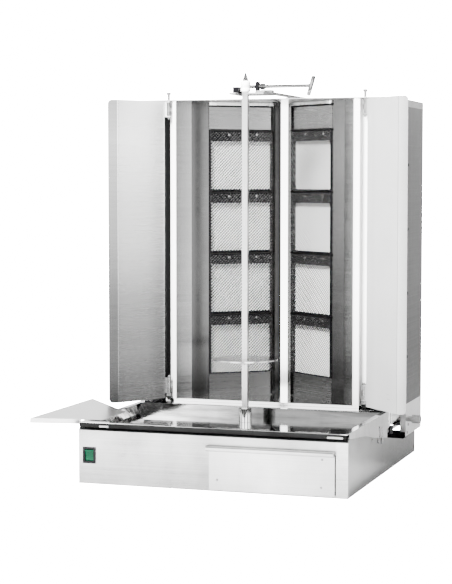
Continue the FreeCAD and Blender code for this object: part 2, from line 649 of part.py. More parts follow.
def drip_tray():
    # A flat rim with a basin whose front and side walls lean in.
    body = new_body("tray_body")
    rim = sketch_on(body, "tray_rim_plan", "XY_Plane", "tray_top - sheet")
    outline(rim, frame(("-tray_width / 2", "tray_width / 2"), (front, from_front("tray_depth"))))
    pad(body, rim, "sheet")
    back = from_front("tray_depth - tray_back_rim")

    def basin(name, height, lean, grow):
        plan = sketch_on(body, name, "XY_Plane", height)
        half = "(tray_width / 2 - tray_rim - (%s) + (%s))" % (lean, grow)
        start = from_front("tray_front_rim + (%s) - (%s)" % (lean, grow))
        outline(plan, frame(("-" + half, half), (start, "%s + (%s)" % (back, grow))))
        return plan

    outer = [basin("basin_out_top", "tray_top - sheet", "0", "sheet"),
             basin("basin_out_low", "tray_floor - sheet", "tray_slope", "sheet")]
    loft(body, "AdditiveLoft", outer)
    inner = [basin("basin_in_top", "tray_top", "0", "0"), basin("basin_in_low", "tray_floor", "tray_slope",
                                                                "0")]
    loft(body, "SubtractiveLoft", inner)
    hole = sketch_on(body, "tray_hole", "XY_Plane", "tray_floor + over")
    ring(hole, "0", spit_y, "shaft_radius + 2 * gap")
    pocket(body, hole, "sheet + 2 * over")
    pieces = [body]
    fold = from_front("front_flange + gap")
    for side, word in ((-1, "left"), (1, "right")):
        start = on_side(side, "tray_width / 2") + (" - sheet" if side > 0 else "")
        pieces.append(side_plate("apron_" + word, start, [
            (fold, "tray_top"), (from_front("tray_depth"), "tray_top"),
            (from_front("tray_depth"), "apron_end"),
            (from_front("tray_depth - apron_step"), "apron_step_high"),
            (from_front("tray_depth - apron_step"), "apron_back"), (fold, "apron_front")]))
    keep(fuse("tray_whole", pieces), "drip_tray")


def tray_frame():
    # Black bars under the rim, standing on the front flange and on two rear posts.
    inner_x = "(tray_width / 2 - tray_rim + sheet + gap)"
    outer_x = "(%s + seat_bar)" % inner_x
    inner_front = from_front("tray_front_rim - sheet - gap")
    inner_back = from_front("tray_depth - tray_back_rim + sheet + gap")
    heights = ("base_height", "tray_top - sheet")
    outside = block("seat_outside", ("-" + outer_x, outer_x),
                    (inner_front + " - seat_bar", inner_back + " + seat_bar"), heights)
    inside = block("seat_inside", ("-" + inner_x, inner_x), (inner_front, inner_back),
                   ("base_height - over", "tray_top"))
    bars = cut("seat_bars", outside, [inside])
    made = [bars]
    for side, word in ((-1, "left"), (1, "right")):
        low = on_side(side, "tray_width / 2 - seat_post_in")
        x = (low + " - seat_post / 2", low + " + seat_post / 2")
        made.append(block("seat_post_" + word, x, (inner_back, inner_back + " + seat_post"),
                          ("floor_sheet", "base_height + over")))
    keep(fuse("seat_frame", made), "tray_frame")


# Drawer

def drawer():
    # The front panel with its rolled lip, and the open box behind it.
    face = (front + " - gap - sheet", front + " - gap")
    centre_z = "(drawer_top - lip_radius)"
    panel = block("drawer_panel", ("drawer_left", "drawer_right"), face, ("drawer_bottom", centre_z))
    roll = rod("drawer_roll", "lip_radius", "x", ("drawer_left - lip_overhang", "drawer_right"),
               (front + " - gap - lip_radius", centre_z))
    bore = rod("drawer_roll_bore", "lip_radius - sheet", "x",
               ("drawer_left - lip_overhang - over", "drawer_right + over"),
               (front + " - gap - lip_radius", centre_z))
    slot = block("drawer_roll_slot", ("drawer_left - lip_overhang - over", "drawer_right + over"),
                 (front + " - gap - lip_radius", face[0]), (centre_z + " - lip_radius - over", centre_z))
    lip = cut("drawer_lip", roll, [bore, slot])
    keep(fuse("drawer_face", [panel, lip]), "drawer_front")

    left = "(drawer_left + drawer_margin + gap + drawer_play)"
    right = "(drawer_right - drawer_margin - gap - drawer_play)"
    low = "(floor_sheet + runner_height + gap)"
    high = "(drawer_top - drawer_margin - drawer_play - gap)"
    back = from_front("drawer_depth")
    outer = block("drawer_outer", (left, right), (front + " - gap", back), (low, high))
    inner = block("drawer_inner", (left + " + sheet", right + " - sheet"),
                  (front + " - gap + sheet", back + " - sheet"), (low + " + sheet", high + " + over"))
    keep(cut("drawer_bin", outer, [inner]), "drawer_box")

    rails = []
    for side, edge in (("left", left + " + runner_in"), ("right", right + " - runner_in - runner_width")):
        rails.append(block("runner_" + side, (edge, edge + " + runner_width"),
                           (front + " + sheet + gap", from_front("drawer_depth + drawer_margin")),
                           ("floor_sheet", "floor_sheet + runner_height")))
    keep(group("runners", rails), "drawer_runners")


# Switch

def switch():
    middle_x = "(switch_left + switch_width / 2)"
    middle_z = "(switch_bottom + switch_height / 2)"
    inner_w = "(switch_width / 2 - switch_rim)"
    inner_h = "(switch_height / 2 - switch_rim)"
    rim = block("switch_rim_plate", ("switch_left", "switch_left + switch_width"),
                (front + " - switch_stand", front),
                ("switch_bottom", "switch_bottom + switch_height"))
    case = block("switch_case", ("switch_left + sheet + gap", "switch_left + switch_width - sheet - gap"),
                 (front + " - over", front + " + switch_depth"),
                 ("switch_bottom + sheet + gap", "switch_bottom + switch_height - sheet - gap"))
    body = fuse("switch_solid", [rim, case])
    window = block("switch_window", (middle_x + " - " + inner_w, middle_x + " + " + inner_w),
                   (front + " - switch_stand - over", front + " + switch_depth / 2"),
                   ("%s - %s" % (middle_z, inner_h), "%s + %s" % (middle_z, inner_h)))
    reach = "(%s + rocker_axle)" % inner_w
    bore = rod("switch_bore", "rocker_axle + shaft_play", "x",
               ("%s - %s - gap" % (middle_x, reach), "%s + %s + gap" % (middle_x, reach)),
               (front + " + rocker_back", middle_z))
    keep(cut("switch_shell", body, [window, bore]), "switch_housing")

    rocker = new_body("rocker_body")
    side = sketch_on(rocker, "rocker_side", "YZ_Plane", "-%s + gap" % inner_w)
    tall = "(%s - rocker_axle)" % inner_h
    outline(side, [("-rocker_crest", "-" + tall), ("-rocker_dip", "0"), ("-rocker_crest", tall),
                   ("0", tall + " - sheet"), ("rocker_back", "0"), ("0", "sheet - " + tall)])
    pad(rocker, side, "2 * (%s - gap)" % inner_w)
    axle = rod("rocker_axle_rod", "rocker_axle", "x", ("-" + reach, reach), ("0", "0"))
    whole = fuse("rocker_whole", [rocker, axle])
    place(whole, middle_x, front + " + rocker_back", middle_z, axis=(1, 0, 0), turn="rocker_tilt")
    keep(whole, "switch_rocker")


# Spit drive

def spit_drive():
    left = "(gearbox_right - gearbox_width)"
    y = (spit_y + " - gearbox_depth / 2", spit_y + " + gearbox_depth / 2")
    case = block("gearbox_case", (left, "gearbox_right"), y,
                 ("gearbox_bottom", "gearbox_top - gearbox_step"))
    neck = rod("gearbox_neck", "gearbox_neck", "z", ("gearbox_top - gearbox_step - over", "gearbox_top"),
               ("0", spit_y))
    bore = rod("gearbox_bore", "shaft_radius + shaft_play", "z",
               ("gearbox_bottom + gearbox_step", "gearbox_top + over"),
               ("0", spit_y))
    keep(cut("gearbox_shell", fuse("gearbox_solid", [case, neck]), [bore]), "gearbox")

    axle_z = "(gearbox_bottom + motor_radius)"
    can = rod("motor_can", "motor_radius", "x", (left + " - motor_length", left), (spit_y, axle_z))
    cap = rod("motor_cap", "motor_radius - motor_cap", "x",
              (left + " - motor_length - motor_cap", left), (spit_y, axle_z))
    keep(fuse("motor_solid", [can, cap]), "gear_motor")

    outer = block("bracket_outer", (left, "gearbox_right"), y, ("floor_sheet", "gearbox_bottom"))
    inner = block("bracket_inner", (left + " + bracket_sheet", "gearbox_right - bracket_sheet"),
                  (y[0] + " - over", y[1] + " + over"),
                  ("floor_sheet + bracket_sheet", "gearbox_bottom - bracket_sheet"))
    keep(cut("bracket_shell", outer, [inner]), "motor_bracket")


# Spit

def spit():
    half = "bar_side / 2"

    def square(name, grow, bottom, top):
        side = "(%s + %s)" % (half, grow)
        return block(name, ("-" + side, side), (spit_y + " - " + side, spit_y + " + " + side), (bottom, top))

    socket = rod("socket_outside", "socket_radius", "z", ("tray_floor + gap", "socket_top"), ("0", spit_y))
    shaft = rod("socket_shaft", "shaft_radius", "z",
                ("gearbox_bottom + gearbox_step + gap", "tray_floor + over"), ("0", spit_y))
    hole = square("socket_hole", "square_play", "socket_floor", "socket_top + over")
    keep(cut("socket_solid", fuse("socket_whole", [socket, shaft]), [hole]), "drive_socket")

    bar = square("spit_bar", "0", "socket_floor", "bar_top")
    cone = doc.addObject("Part::Cone", "spit_cone")
    bind(cone, "Radius1", "tip_radius")
    bind(cone, "Radius2", "tip_end")
    bind(cone, "Height", "tip_height")
    place(cone, "0", spit_y, "bar_top")
    keep(fuse("spit_whole", [bar, cone]), "spit_rod")

    plate = rod("disc_plate", "disc_radius", "z", ("disc_height - disc_thick", "disc_height"), ("0", spit_y))
    keep(cut("disc_solid", plate, [square("disc_hole", "square_play", "0", "disc_height + over")]),
         "meat_disc")
    low = "disc_height - disc_thick - collar_height"
    collar = rod("collar_outside", "collar_radius", "z", (low, "disc_height - disc_thick"), ("0", spit_y))
    keep(cut("collar_solid", collar, [square("collar_hole", "square_play", "0", "disc_height")]),
         "disc_collar")

    sleeve = rod("sleeve_outside", "sleeve_radius", "z", ("sleeve_bottom", "bar_top"), ("0", spit_y))
    keep(cut("sleeve_solid", sleeve, [square("sleeve_hole", "0", "0", "bar_top + over")]), "spit_sleeve")


# Slide of the tower

def slides():
    # Rods along both sides of the base, the plates and stops that go with them, and the tower's carriages.
    rods = []
    plates = []
    blocks = []
    rod_end = rear + " - sheet - rod_plate / 2"
    rod_y = (from_front("rod_start"), rod_end)
    stand = "base_width / 2 + bolt_head"
    for side, word in ((-1, "left"), (1, "right")):
        centre = (on_side(side, "rod_out"), "rod_high")
        rods.append(rod("guide_" + word, "rod_radius", "y", rod_y, centre))
        bore = rod("guide_seat_" + word, "rod_radius", "y", rod_y, centre)
        inner = on_side(side, "rod_out - rod_plate_in")
        outer = on_side(side, "tray_width / 2 - sheet - gap")
        first = block("guide_front_" + word, sorted([inner, outer], key=value),
                      (from_front("rod_start - rod_plate / 2"), from_front("rod_start + rod_plate / 2")),
                      ("floor_sheet", "rod_high + rod_plate_over"))
        outer = on_side(side, "base_width / 2 - sheet")
        last = block("guide_rear_" + word, sorted([inner, outer], key=value),
                     (rear + " - sheet - rod_plate", rear + " - sheet"),
                     ("floor_sheet", "rod_high + rod_plate_over"))
        plates.append(cut("guide_front_plate_" + word, first, [bore]))
        plates.append(cut("guide_rear_plate_" + word, last, [bore]))
        ends = sorted([on_side(side, "base_width / 2"), on_side(side, stand)], key=value)
        plates.append(rod("side_bolt_" + word, "bolt_radius", "x", ends,
                          (from_front("tower_front - bolt_ahead"), "bolt_high")))
        stop_y = from_front("rod_start")
        foot = block("stop_foot_" + word, ends, (stop_y + " - stop_foot / 2", stop_y + " + stop_foot / 2"),
                     ("stop_low", "stop_low + stop_foot"))
        pin = rod("stop_pin_" + word, "stop_radius", "z", ("stop_low + over", "stop_top"),
                  (on_side(side, "base_width / 2 + stop_radius + shaft_play"), stop_y))
        plates.append(fuse("stop_" + word, [foot, pin]))
        for place_word, start in (("front", "bush_first"), ("back", "bush_second")):
            y = (from_front("tower_front + " + start), from_front("tower_front + %s + bush_length" % start))
            tag = word + "_" + place_word
            lump = block("bush_" + tag, (centre[0] + " - bush_side", centre[0] + " + bush_side"), y,
                         ("rod_high - bush_half", "rod_high + bush_half"))
            web_x = on_side(side, "rod_out - web_in")
            web = block("web_" + tag, (web_x + " - web_thick / 2", web_x + " + web_thick / 2"), y,
                        ("rod_high + bush_half - over", "tower_floor - floor_sheet"))
            hole = rod("bush_bore_" + tag, "rod_radius + shaft_play", "y",
                       (y[0] + " - over", y[1] + " + over"), centre)
            blocks.append(cut("carriage_" + tag, fuse("carriage_solid_" + tag, [lump, web]), [hole]))
    keep(group("rods_group", rods), "guide_rods")
    keep(group("plates_group", plates), "rod_plates")
    keep(group("blocks_group", blocks), "slide_carriages")


# Tower housing

def housing():
    floor = block("floor_plate", ("-cover_in", "cover_in"),
                  (from_front("tower_front"), from_front("tower_back - sheet")),
                  ("tower_floor - floor_sheet", "tower_floor"))
    notches = []
    for side, word in ((-1, "left"), (1, "right")):
        ends = sorted([on_side(side, "pocket_in - seam"), on_side(side, "tower_width / 2")], key=value)
        notches.append(block("floor_notch_" + word, ends,
                             (from_front("tower_front - over"),
                              from_front("tower_front + pocket_deep + sheet")),
                             ("tower_floor - floor_sheet - over", "tower_floor + over")))
    pipe = rod("floor_pipe_hole", "inlet_hole", "z", ("0", "tower_floor + over"),
               ("manifold_out", from_front("inlet_back")))
    lip_end = "(pocket_in - seam)"
    lip = block("floor_lip", ("-" + lip_end, lip_end),
                (from_front("tower_front"), from_front("tower_front + sheet")),
                ("tray_top + gap", "tower_floor"))
    pieces = [cut("floor_solid", floor, notches + [pipe]), lip]
    for side, word in ((-1, "left"), (1, "right")):
        start = from_front("tower_front")
        end = from_front("skirt_front - flange_gap")
        low = on_side(side, "cover_in") + (" - sheet" if side > 0 else "")
        pieces.append(side_plate("flange_" + word, low, [
            (start, "tower_floor"), (end, "tower_floor"), (end, "flange_back"), (start, "flange_front")]))
    keep(fuse("floor_whole", pieces), "tower_floor")

    for side, word in ((-1, "left"), (1, "right")):
        line = [(on_side(side, "tower_width / 2"), from_front("tower_front")),
                (on_side(side, "tower_width / 2"), from_front("tower_back")),
                (on_side(side, "tower_width / 2 - back_return"), from_front("tower_back"))]
        cover = bent_sheet("cover_" + word, line, on_side(-side, "sheet"), "cover_bottom", "cap_bottom")
        if side > 0:
            holes = []
            for number in range(rows):
                holes.append(rod("cover_hole_%d" % number, "stub_radius + gap", "x",
                                 ("cover_in - over", "tower_width / 2 + over"),
                                 (from_front("tap_back"), "tap_first + %d * tap_pitch" % number)))
            cover = cut("cover_with_holes", cover, holes)
        keep(cover, word + "_side_cover")

        low = on_side(side, "tower_width / 2 - skirt_lip")
        skirt_line = [(low, from_front("skirt_front")),
                      (on_side(side, "tower_width / 2"), from_front("skirt_front")),
                      (on_side(side, "tower_width / 2"), from_front("tower_back"))]
        skirt = bent_sheet("skirt_" + word, skirt_line, on_side(-side, "sheet"), "skirt_bottom",
                           "cover_bottom")
        ends = sorted([on_side(side, "tower_width / 2 - skirt_lip - over"), on_side(side, "cover_in")],
                      key=value)
        trims = [block("skirt_trim_" + word, ends,
                       (from_front("skirt_front - over"), from_front("skirt_front + 2 * sheet")),
                       ("skirt_bottom - over", "skirt_lip_bottom"))]
        if side > 0:
            trims.append(rod("skirt_hole", "inlet_radius + gap", "x",
                             ("cover_in - over", "tower_width / 2 + over"),
                             (from_front("inlet_back"), "inlet_high")))
        keep(cut("skirt_solid_" + word, skirt, trims), word + "_skirt")

    back = new_body("back_body")
    plan = sketch_on(back, "back_plan", "XZ_Plane", "base_depth / 2 - tower_back")
    half = "(tower_width / 2 - back_return - seam)"
    outline(plan, frame(("-" + half, half), ("cover_bottom", "cap_bottom")))
    pad(back, plan, "sheet")
    back_panel = cut("back_with_slots", back, [vent_slots()])
    keep(back_panel, "back_cover")

    roof = new_body("roof_body")
    plan = sketch_on(roof, "roof_plan", "XY_Plane", "cap_bottom")
    outline(plan, frame(("-tower_width / 2", "tower_width / 2"),
                        (from_front("roof_front"), from_front("tower_back"))))
    pad(roof, plan, "roof_top - cap_bottom")
    under = sketch_on(roof, "roof_under", "XY_Plane", "cap_bottom")
    outline(under, frame(("-cover_in", "cover_in"), (from_front("roof_front - over"),
                                                     from_front("tower_back - sheet"))))
    pocket(roof, under, "roof_top - roof_sheet - cap_bottom", reverse=True)
    pins = sketch_on(roof, "roof_pins", "XY_Plane", "roof_top + over")
    for side in (-1, 1):
        ring(pins, on_side(side, "pin_out"), from_front("pin_back"), "pin_radius + shaft_play")
    pocket(roof, pins, "roof_sheet + 2 * over")
    keep(roof, "roof")


def vent_slots():
    # Upright air slots in the back cover, in two rows.
    cutters = []
    for row, height in enumerate(("tower_floor + vent_stand", "cap_bottom - vent_under")):
        for number in range(vents):
            x = "(%s * vent_pitch)" % (number - (vents - 1) / 2)
            cutters.append(block("vent_%d_%d" % (row, number),
                                 (x + " - vent_width / 2", x + " + vent_width / 2"),
                                 (from_front("tower_back - over"), from_front("tower_back + sheet + over")),
                                 (height, height + " + vent_height")))
    return group("vents", cutters)


def wings():
    # Each wing is one folded sheet: front face, hinge pocket and three reflecting facets.
    pocket_back = from_front("tower_front + pocket_deep")
    # The inner pocket wall meets the line from the hinge pin to the first fold.
    share = "((pin_out - pocket_in) / (pin_out - fold_one_out))"
    pocket_front = from_front("pin_back - (pin_back - fold_one_back) * " + share)
    for side, word in ((-1, "left"), (1, "right")):
        line = [(on_side(side, "cover_in"), from_front("tower_front")),
                (on_side(side, "pocket_out"), from_front("tower_front")),
                (on_side(side, "pocket_out"), pocket_back),
                (on_side(side, "pocket_in"), pocket_back),
                (on_side(side, "pocket_in"), pocket_front),
                (on_side(side, "fold_one_out"), from_front("fold_one_back")),
                (on_side(side, "fold_two_out"), from_front("fold_two_back")),
                (on_side(side, "fold_three_out"), from_front("fold_three_back"))]
        wing = bent_sheet("wing_" + word, line, on_side(side, "sheet"), "tower_floor", "roof_under")
        keep(wing, word + "_wing")


def centre_post():
    inner_y = from_front("column_back")
    line = [("-column_inner", inner_y), ("-post_half", from_front("post_back")),
            ("post_half", from_front("post_back")), ("column_inner", inner_y)]
    post = bent_sheet("post_sheet", line, "-sheet", "tower_floor", "roof_under")
    keep(post, "centre_post")


# Burners

def column_place(thing, side):
    # Puts a piece that is drawn along its column into place. X runs from the column's left edge rightwards.
    if side < 0:
        return place(thing, "-fold_three_out", from_front("fold_three_back"), "0", (0, 0, 1), "column_turn")
    return place(thing, "column_inner", from_front("column_back"), "0", (0, 0, 1), "-column_turn")


def burner_columns():
    tiles = []
    for side, word in ((-1, "left"), (1, "right")):
        holder = new_body(word + "_frame_body")
        plan = sketch_on(holder, word + "_frame_plan", "XZ_Plane", "-sheet")
        outline(plan, frame(("seam", "column_width - seam"), ("tower_floor", "roof_under")))
        pad(holder, plan, "sheet")
        window = sketch_on(holder, word + "_frame_window", "XZ_Plane", "over")
        outline(window, frame(("burner_inset", "column_width - burner_inset"),
                              ("burner_first", "burner_top")))
        pocket(holder, window, "sheet + 2 * over")
        column_place(holder, side)
        keep(holder, word + "_burner_frame")
        for number in range(rows):
            tiles.append(burner(side, word, number))
    keep(group("tiles_group", tiles), "ceramic_tiles")


def burner(side, word, number):
    # A sheet box with a window in front of its sunk tile, air holes above it and an injector boss behind.
    low = "(burner_first + %d * burner_pitch + burner_joint / 2)" % number
    high = "(burner_first + %d * burner_pitch - burner_joint / 2)" % (number + 1)
    tag = "%s_burner_%d" % (word, number + 1)
    box = new_body(tag + "_body")
    plan = sketch_on(box, tag + "_face", "XZ_Plane", "burner_front")
    outline(plan, frame(("burner_inset", "column_width - burner_inset"), (low, high)))
    pad(box, plan, "burner_front + burner_depth").Reversed = True
    window = sketch_on(box, tag + "_window", "XZ_Plane", "burner_front + over")
    tile_x = ("burner_inset + burner_rim", "column_width - burner_inset - burner_rim")
    tile_z = (low + " + burner_sill", high + " - burner_band")
    outline(window, frame(tile_x, tile_z))
    pocket(box, window, "burner_plate + 2 * over")
    chamber = sketch_on(box, tag + "_chamber", "XZ_Plane", "burner_front - burner_plate")
    outline(chamber, frame(("burner_inset + sheet", "column_width - burner_inset - sheet"),
                           (low + " + sheet", high + " - sheet")))
    pocket(box, chamber, "burner_depth + burner_front - burner_plate - sheet")
    holes = sketch_on(box, tag + "_holes", "XZ_Plane", "burner_front + over")
    for step in range(band_holes):
        x = "(column_width / 2 + %s * band_pitch)" % (step - (band_holes - 1) / 2)
        ring(holes, x, high + " - burner_band / 2", "band_hole")
    pocket(box, holes, "burner_plate + 2 * over")
    boss = sketch_on(box, tag + "_boss", "XZ_Plane", "-burner_depth")
    ring(boss, "column_width / 2", "%s + burner_pitch / 2" % low, "injector_radius")
    pad(box, boss, "boss_length").Reversed = True
    column_place(box, side)
    keep(box, tag)
    tile_x = ("burner_inset + sheet", "column_width - burner_inset - sheet")
    tile_z = (low + " + sheet", high + " - burner_band + burner_sill")
    face = "tile_recess - burner_front"
    tile = block(tag + "_tile", tile_x, (face, face + " + tile_thick"), tile_z)
    column_place_box(tile, side, tile_x[0], face, tile_z[0])
    return tile


def column_place_box(tile, side, along, behind, up):
    # A box keeps its low corner at its placement, so the corner itself is turned into the column's place.
    turn = "column_turn" if side < 0 else "-column_turn"
    start = ("-fold_three_out", from_front("fold_three_back")) if side < 0 else ("column_inner",
                                                                                 from_front("column_back"))
    x = "%s + (%s) * cos(%s) - (%s) * sin(%s)" % (start[0], along, turn, behind, turn)
    y = "%s + (%s) * sin(%s) + (%s) * cos(%s)" % (start[1], along, turn, behind, turn)
    place(tile, x, y, up, (0, 0, 1), turn)


# Gas line

def gas_line():
    tap_y = from_front("tap_back")
    inlet_y = from_front("inlet_back")
    pipe_y = from_front("manifold_back")
    low = "(tower_floor + inlet_run)"
    top = "(tap_first + %d * tap_pitch + manifold_over)" % (rows - 1)
    out = "manifold_out"
    half = "(inlet_radius + elbow_swell)"

    def elbow(name, height):
        return block(name, (out + " - " + half, out + " + " + half),
                     (inlet_y + " - " + half, inlet_y + " + " + half), (height + " - " + half, height + " + " + half))

    # Pipes and square elbows that meet face to face, and the inlet stub with its hexagon.
    pieces = [
        rod("manifold_pipe", "manifold_radius", "z", (low + " - manifold_radius", top), (out, pipe_y)),
        rod("inlet_run", "inlet_radius", "y", (pipe_y + " + manifold_radius", inlet_y + " - " + half),
            (out, low)),
        elbow("elbow_high", low),
        rod("inlet_rise", "inlet_radius", "z", ("inlet_high + " + half, low + " - " + half), (out, inlet_y)),
        elbow("elbow_low", "inlet_high"),
    ]
    stub = rod("inlet_stub", "inlet_radius", "x", (out + " + " + half, "inlet_end"), (inlet_y, "inlet_high"))
    nut = doc.addObject("Part::Prism", "inlet_nut_hex")
    nut.Polygon = 6
    bind(nut, "Circumradius", "inlet_flat / sqrt(3)")
    bind(nut, "Height", "inlet_nut")
    nut.Placement = FreeCAD.Placement(Vector(), FreeCAD.Rotation(Vector(0, 0, 1), Vector(1, 0, 0)))
    for letter, text in (("x", "inlet_end - inlet_nut"), ("y", inlet_y), ("z", "inlet_high")):
        bind(nut, "Placement.Base." + letter, text)
    bore = rod("inlet_bore", "inlet_radius - inlet_wall", "x",
               ("inlet_end - inlet_depth", "inlet_end + over"), (inlet_y, "inlet_high"))
    pieces.append(cut("inlet_solid", fuse("inlet_whole", [stub, nut]), [bore]))
    keep(group("gas_group", pieces), "gas_manifold")

    taps = []
    feeds = []
    for number in range(rows):
        height = "(tap_first + %d * tap_pitch)" % number
        middle = "(burner_first + (%d + 0.5) * burner_pitch)" % number
        face = "tower_width / 2"
        stub = rod("tap_stub_%d" % number, "stub_radius", "x", ("manifold_out + manifold_radius", face),
                   (tap_y, height))
        head = rod("tap_head_%d" % number, "tap_radius", "x", (face, face + " + tap_length"),
                   (tap_y, height))
        bore = rod("tap_bore_%d" % number, "stem_radius + shaft_play", "x",
                   (face + " + tap_seat", face + " + tap_length + over"),
                   (tap_y, height))
        taps.append(cut("tap_%d" % number, fuse("tap_solid_%d" % number, [stub, head]), [bore]))

        stem = rod("lever_stem_%d" % number, "stem_radius", "x", (face + " + tap_seat + gap", "lever_end"),
                   (tap_y, height))
        bar = block("lever_bar_%d" % number, ("lever_end - lever_width", "lever_end"),
                    (tap_y + " - lever_tail", tap_y + " + lever_reach"),
                    (height + " - lever_height / 2", height + " + lever_height / 2"))
        keep(fuse("lever_%d" % number, [stem, bar]), "tap_lever_%d" % (number + 1))
        feeds.append(feed_pipe(number, middle))
    keep(group("taps_group", taps), "tap_bodies")
    keep(group("feeds_group", feeds), "feed_pipes")


def feed_pipe(number, middle):
    # From the manifold's side back behind the burners, with a branch to each injector boss.
    behind = "(burner_depth + boss_length)"
    boss_out = "(column_width / 2 * cos(column_turn) + %s * sin(column_turn) + column_inner)" % behind
    boss_back = "column_back - column_width / 2 * sin(column_turn) + %s * cos(column_turn)" % behind
    boss_y = from_front("(%s + feed_radius * tan(column_turn) + gap)" % boss_back)
    back_y = from_front("feed_back")
    start_y = from_front("manifold_back")
    out = "manifold_out"
    pieces = [
        rod("feed_side_%d" % number, "feed_radius", "y", (start_y + " + manifold_radius", back_y),
            (out, middle)),
        rod("feed_cross_%d" % number, "feed_radius", "x", ("-" + boss_out, out), (back_y, middle)),
        rod("feed_right_%d" % number, "feed_radius", "y", (boss_y, back_y), (boss_out, middle)),
        rod("feed_left_%d" % number, "feed_radius", "y", (boss_y, back_y), ("-" + boss_out, middle)),
    ]
    half = "(feed_radius + elbow_swell)"
    for word, x in (("corner", out), ("tee", boss_out), ("end", "-" + boss_out)):
        pieces.append(block("feed_%s_%d" % (word, number), (x + " - " + half, x + " + " + half),
                            (back_y + " - " + half, back_y + " + " + half),
                            (middle + " - " + half, middle + " + " + half)))
    return fuse("feed_%d" % number, pieces)


# Doors

def door(side, word, turn):
    # A panel with an outward flange and two pairs of hinge eyes, drawn along X and turned about its pin.
    flange_x = "(door_width + door_flange * cos(flange_turn))"
    flange_y = "(%d * door_flange * sin(flange_turn))" % side
    line = [("door_start", "0"), ("door_width", "0"), (flange_x, flange_y)]
    panel = bent_sheet("panel_" + word, line, on_side(side, "sheet"), "door_bottom", "door_top")
    eyes = []
    for place_word, low in (("low", "door_bottom + eye_lift"), ("high", "door_top - eye_pair")):
        for level, z in (("a", low), ("b", low + " + eye_pair - eye_sheet")):
            tag = "%s_%s_%s" % (word, place_word, level)
            tongue = block("tongue_" + tag, ("0", "strap_start + over"), ("-sheet", "sheet"),
                           (z, z + " + eye_sheet"))
            round_end = rod("eye_" + tag, "eye_rim", "z", (z, z + " + eye_sheet"), ("0", "0"))
            eyes += [tongue, round_end]
        strap = "strap_%s_%s" % (word, place_word)
        eyes.append(block(strap, ("strap_start", "strap_start + strap_length"), ("-sheet", "sheet"),
                          (low, low + " + eye_pair")))
    whole = fuse("door_whole_" + word, [panel] + eyes)
    bore = rod("door_bore_" + word, "pin_radius + shaft_play", "z",
               ("door_bottom - over", "door_top + over"), ("0", "0"))
    made = cut("door_" + word, whole, [bore] + door_corners(side, word))
    place(made, on_side(side, "pin_out"), from_front("pin_back"), "0", (0, 0, 1), turn)
    keep(made, word + "_door")


def door_corners(side, word):
    # What is cut off the flange's two corners to round them.
    made = []
    inset = "(door_flange - door_corner)"
    levels = (("low", "(door_bottom + door_corner)", ("door_bottom - over", "door_bottom + door_corner")),
              ("high", "(door_top - door_corner)", ("door_top - door_corner", "door_top + over")))
    for level, centre_z, heights in levels:
        tag = "%s_%s" % (word, level)
        square = block("corner_square_" + tag, (inset, "door_flange + over"), ("-3 * sheet", "3 * sheet"),
                       heights)
        round_part = rod("corner_round_" + tag, "door_corner", "y", ("-4 * sheet", "4 * sheet"),
                         (inset, centre_z))
        piece = cut("corner_" + tag, square, [round_part])
        made.append(place(piece, "door_width", "0", "0", (0, 0, 1), "%d * flange_turn" % side))
    return made


def hinges(side, word):
    # Two pins, each held by a lug on the pocket's back wall. The upper one goes through the roof,
    # and the lower one ends in a ring and a cone.
    centre = (on_side(side, "pin_out"), from_front("pin_back"))
    foot = "(tray_top + foot_rise)"
    ring_low = "(%s + foot_cone)" % foot
    made = []
    spans = (("low", "(door_bottom + eye_lift)", foot, "door_bottom + eye_lift + eye_pair + pin_head"),
             ("high", "(door_top - eye_pair)", "door_top - eye_pair - pin_head", "roof_top + pin_rise"))
    for level, start, bottom, top in spans:
        tag = word + "_" + level
        pin = rod("pin_" + tag, "pin_radius", "z", (bottom, top), centre)
        middle = "(%s + eye_pair / 2)" % start
        heights = (middle + " - lug_height / 2", middle + " + lug_height / 2")
        lug = block("lug_" + tag, (centre[0] + " - eye_half", centre[0] + " + eye_half"),
                    (centre[1], from_front("tower_front + pocket_deep")), heights)
        barrel = rod("barrel_" + tag, "eye_rim", "z", heights, centre)
        pieces = [pin, lug, barrel]
        if level == "high":
            pieces.append(rod("pin_head_" + tag, "pin_head", "z", (top + " - pin_head", top), centre))
        else:
            cone = doc.addObject("Part::Cone", "pin_cone_" + tag)
            bind(cone, "Radius1", "eye_rim")
            bind(cone, "Radius2", "foot_ring")
            bind(cone, "Height", "foot_cone")
            pieces.append(place(cone, centre[0], centre[1], foot))
            pieces.append(rod("pin_ring_" + tag, "foot_ring", "z",
                              (ring_low, ring_low + " + foot_ring_high"), centre))
        made.append(fuse("hinge_" + tag, pieces))
    keep(group("hinges_" + word, made), word + "_hinges")


# Top bearing

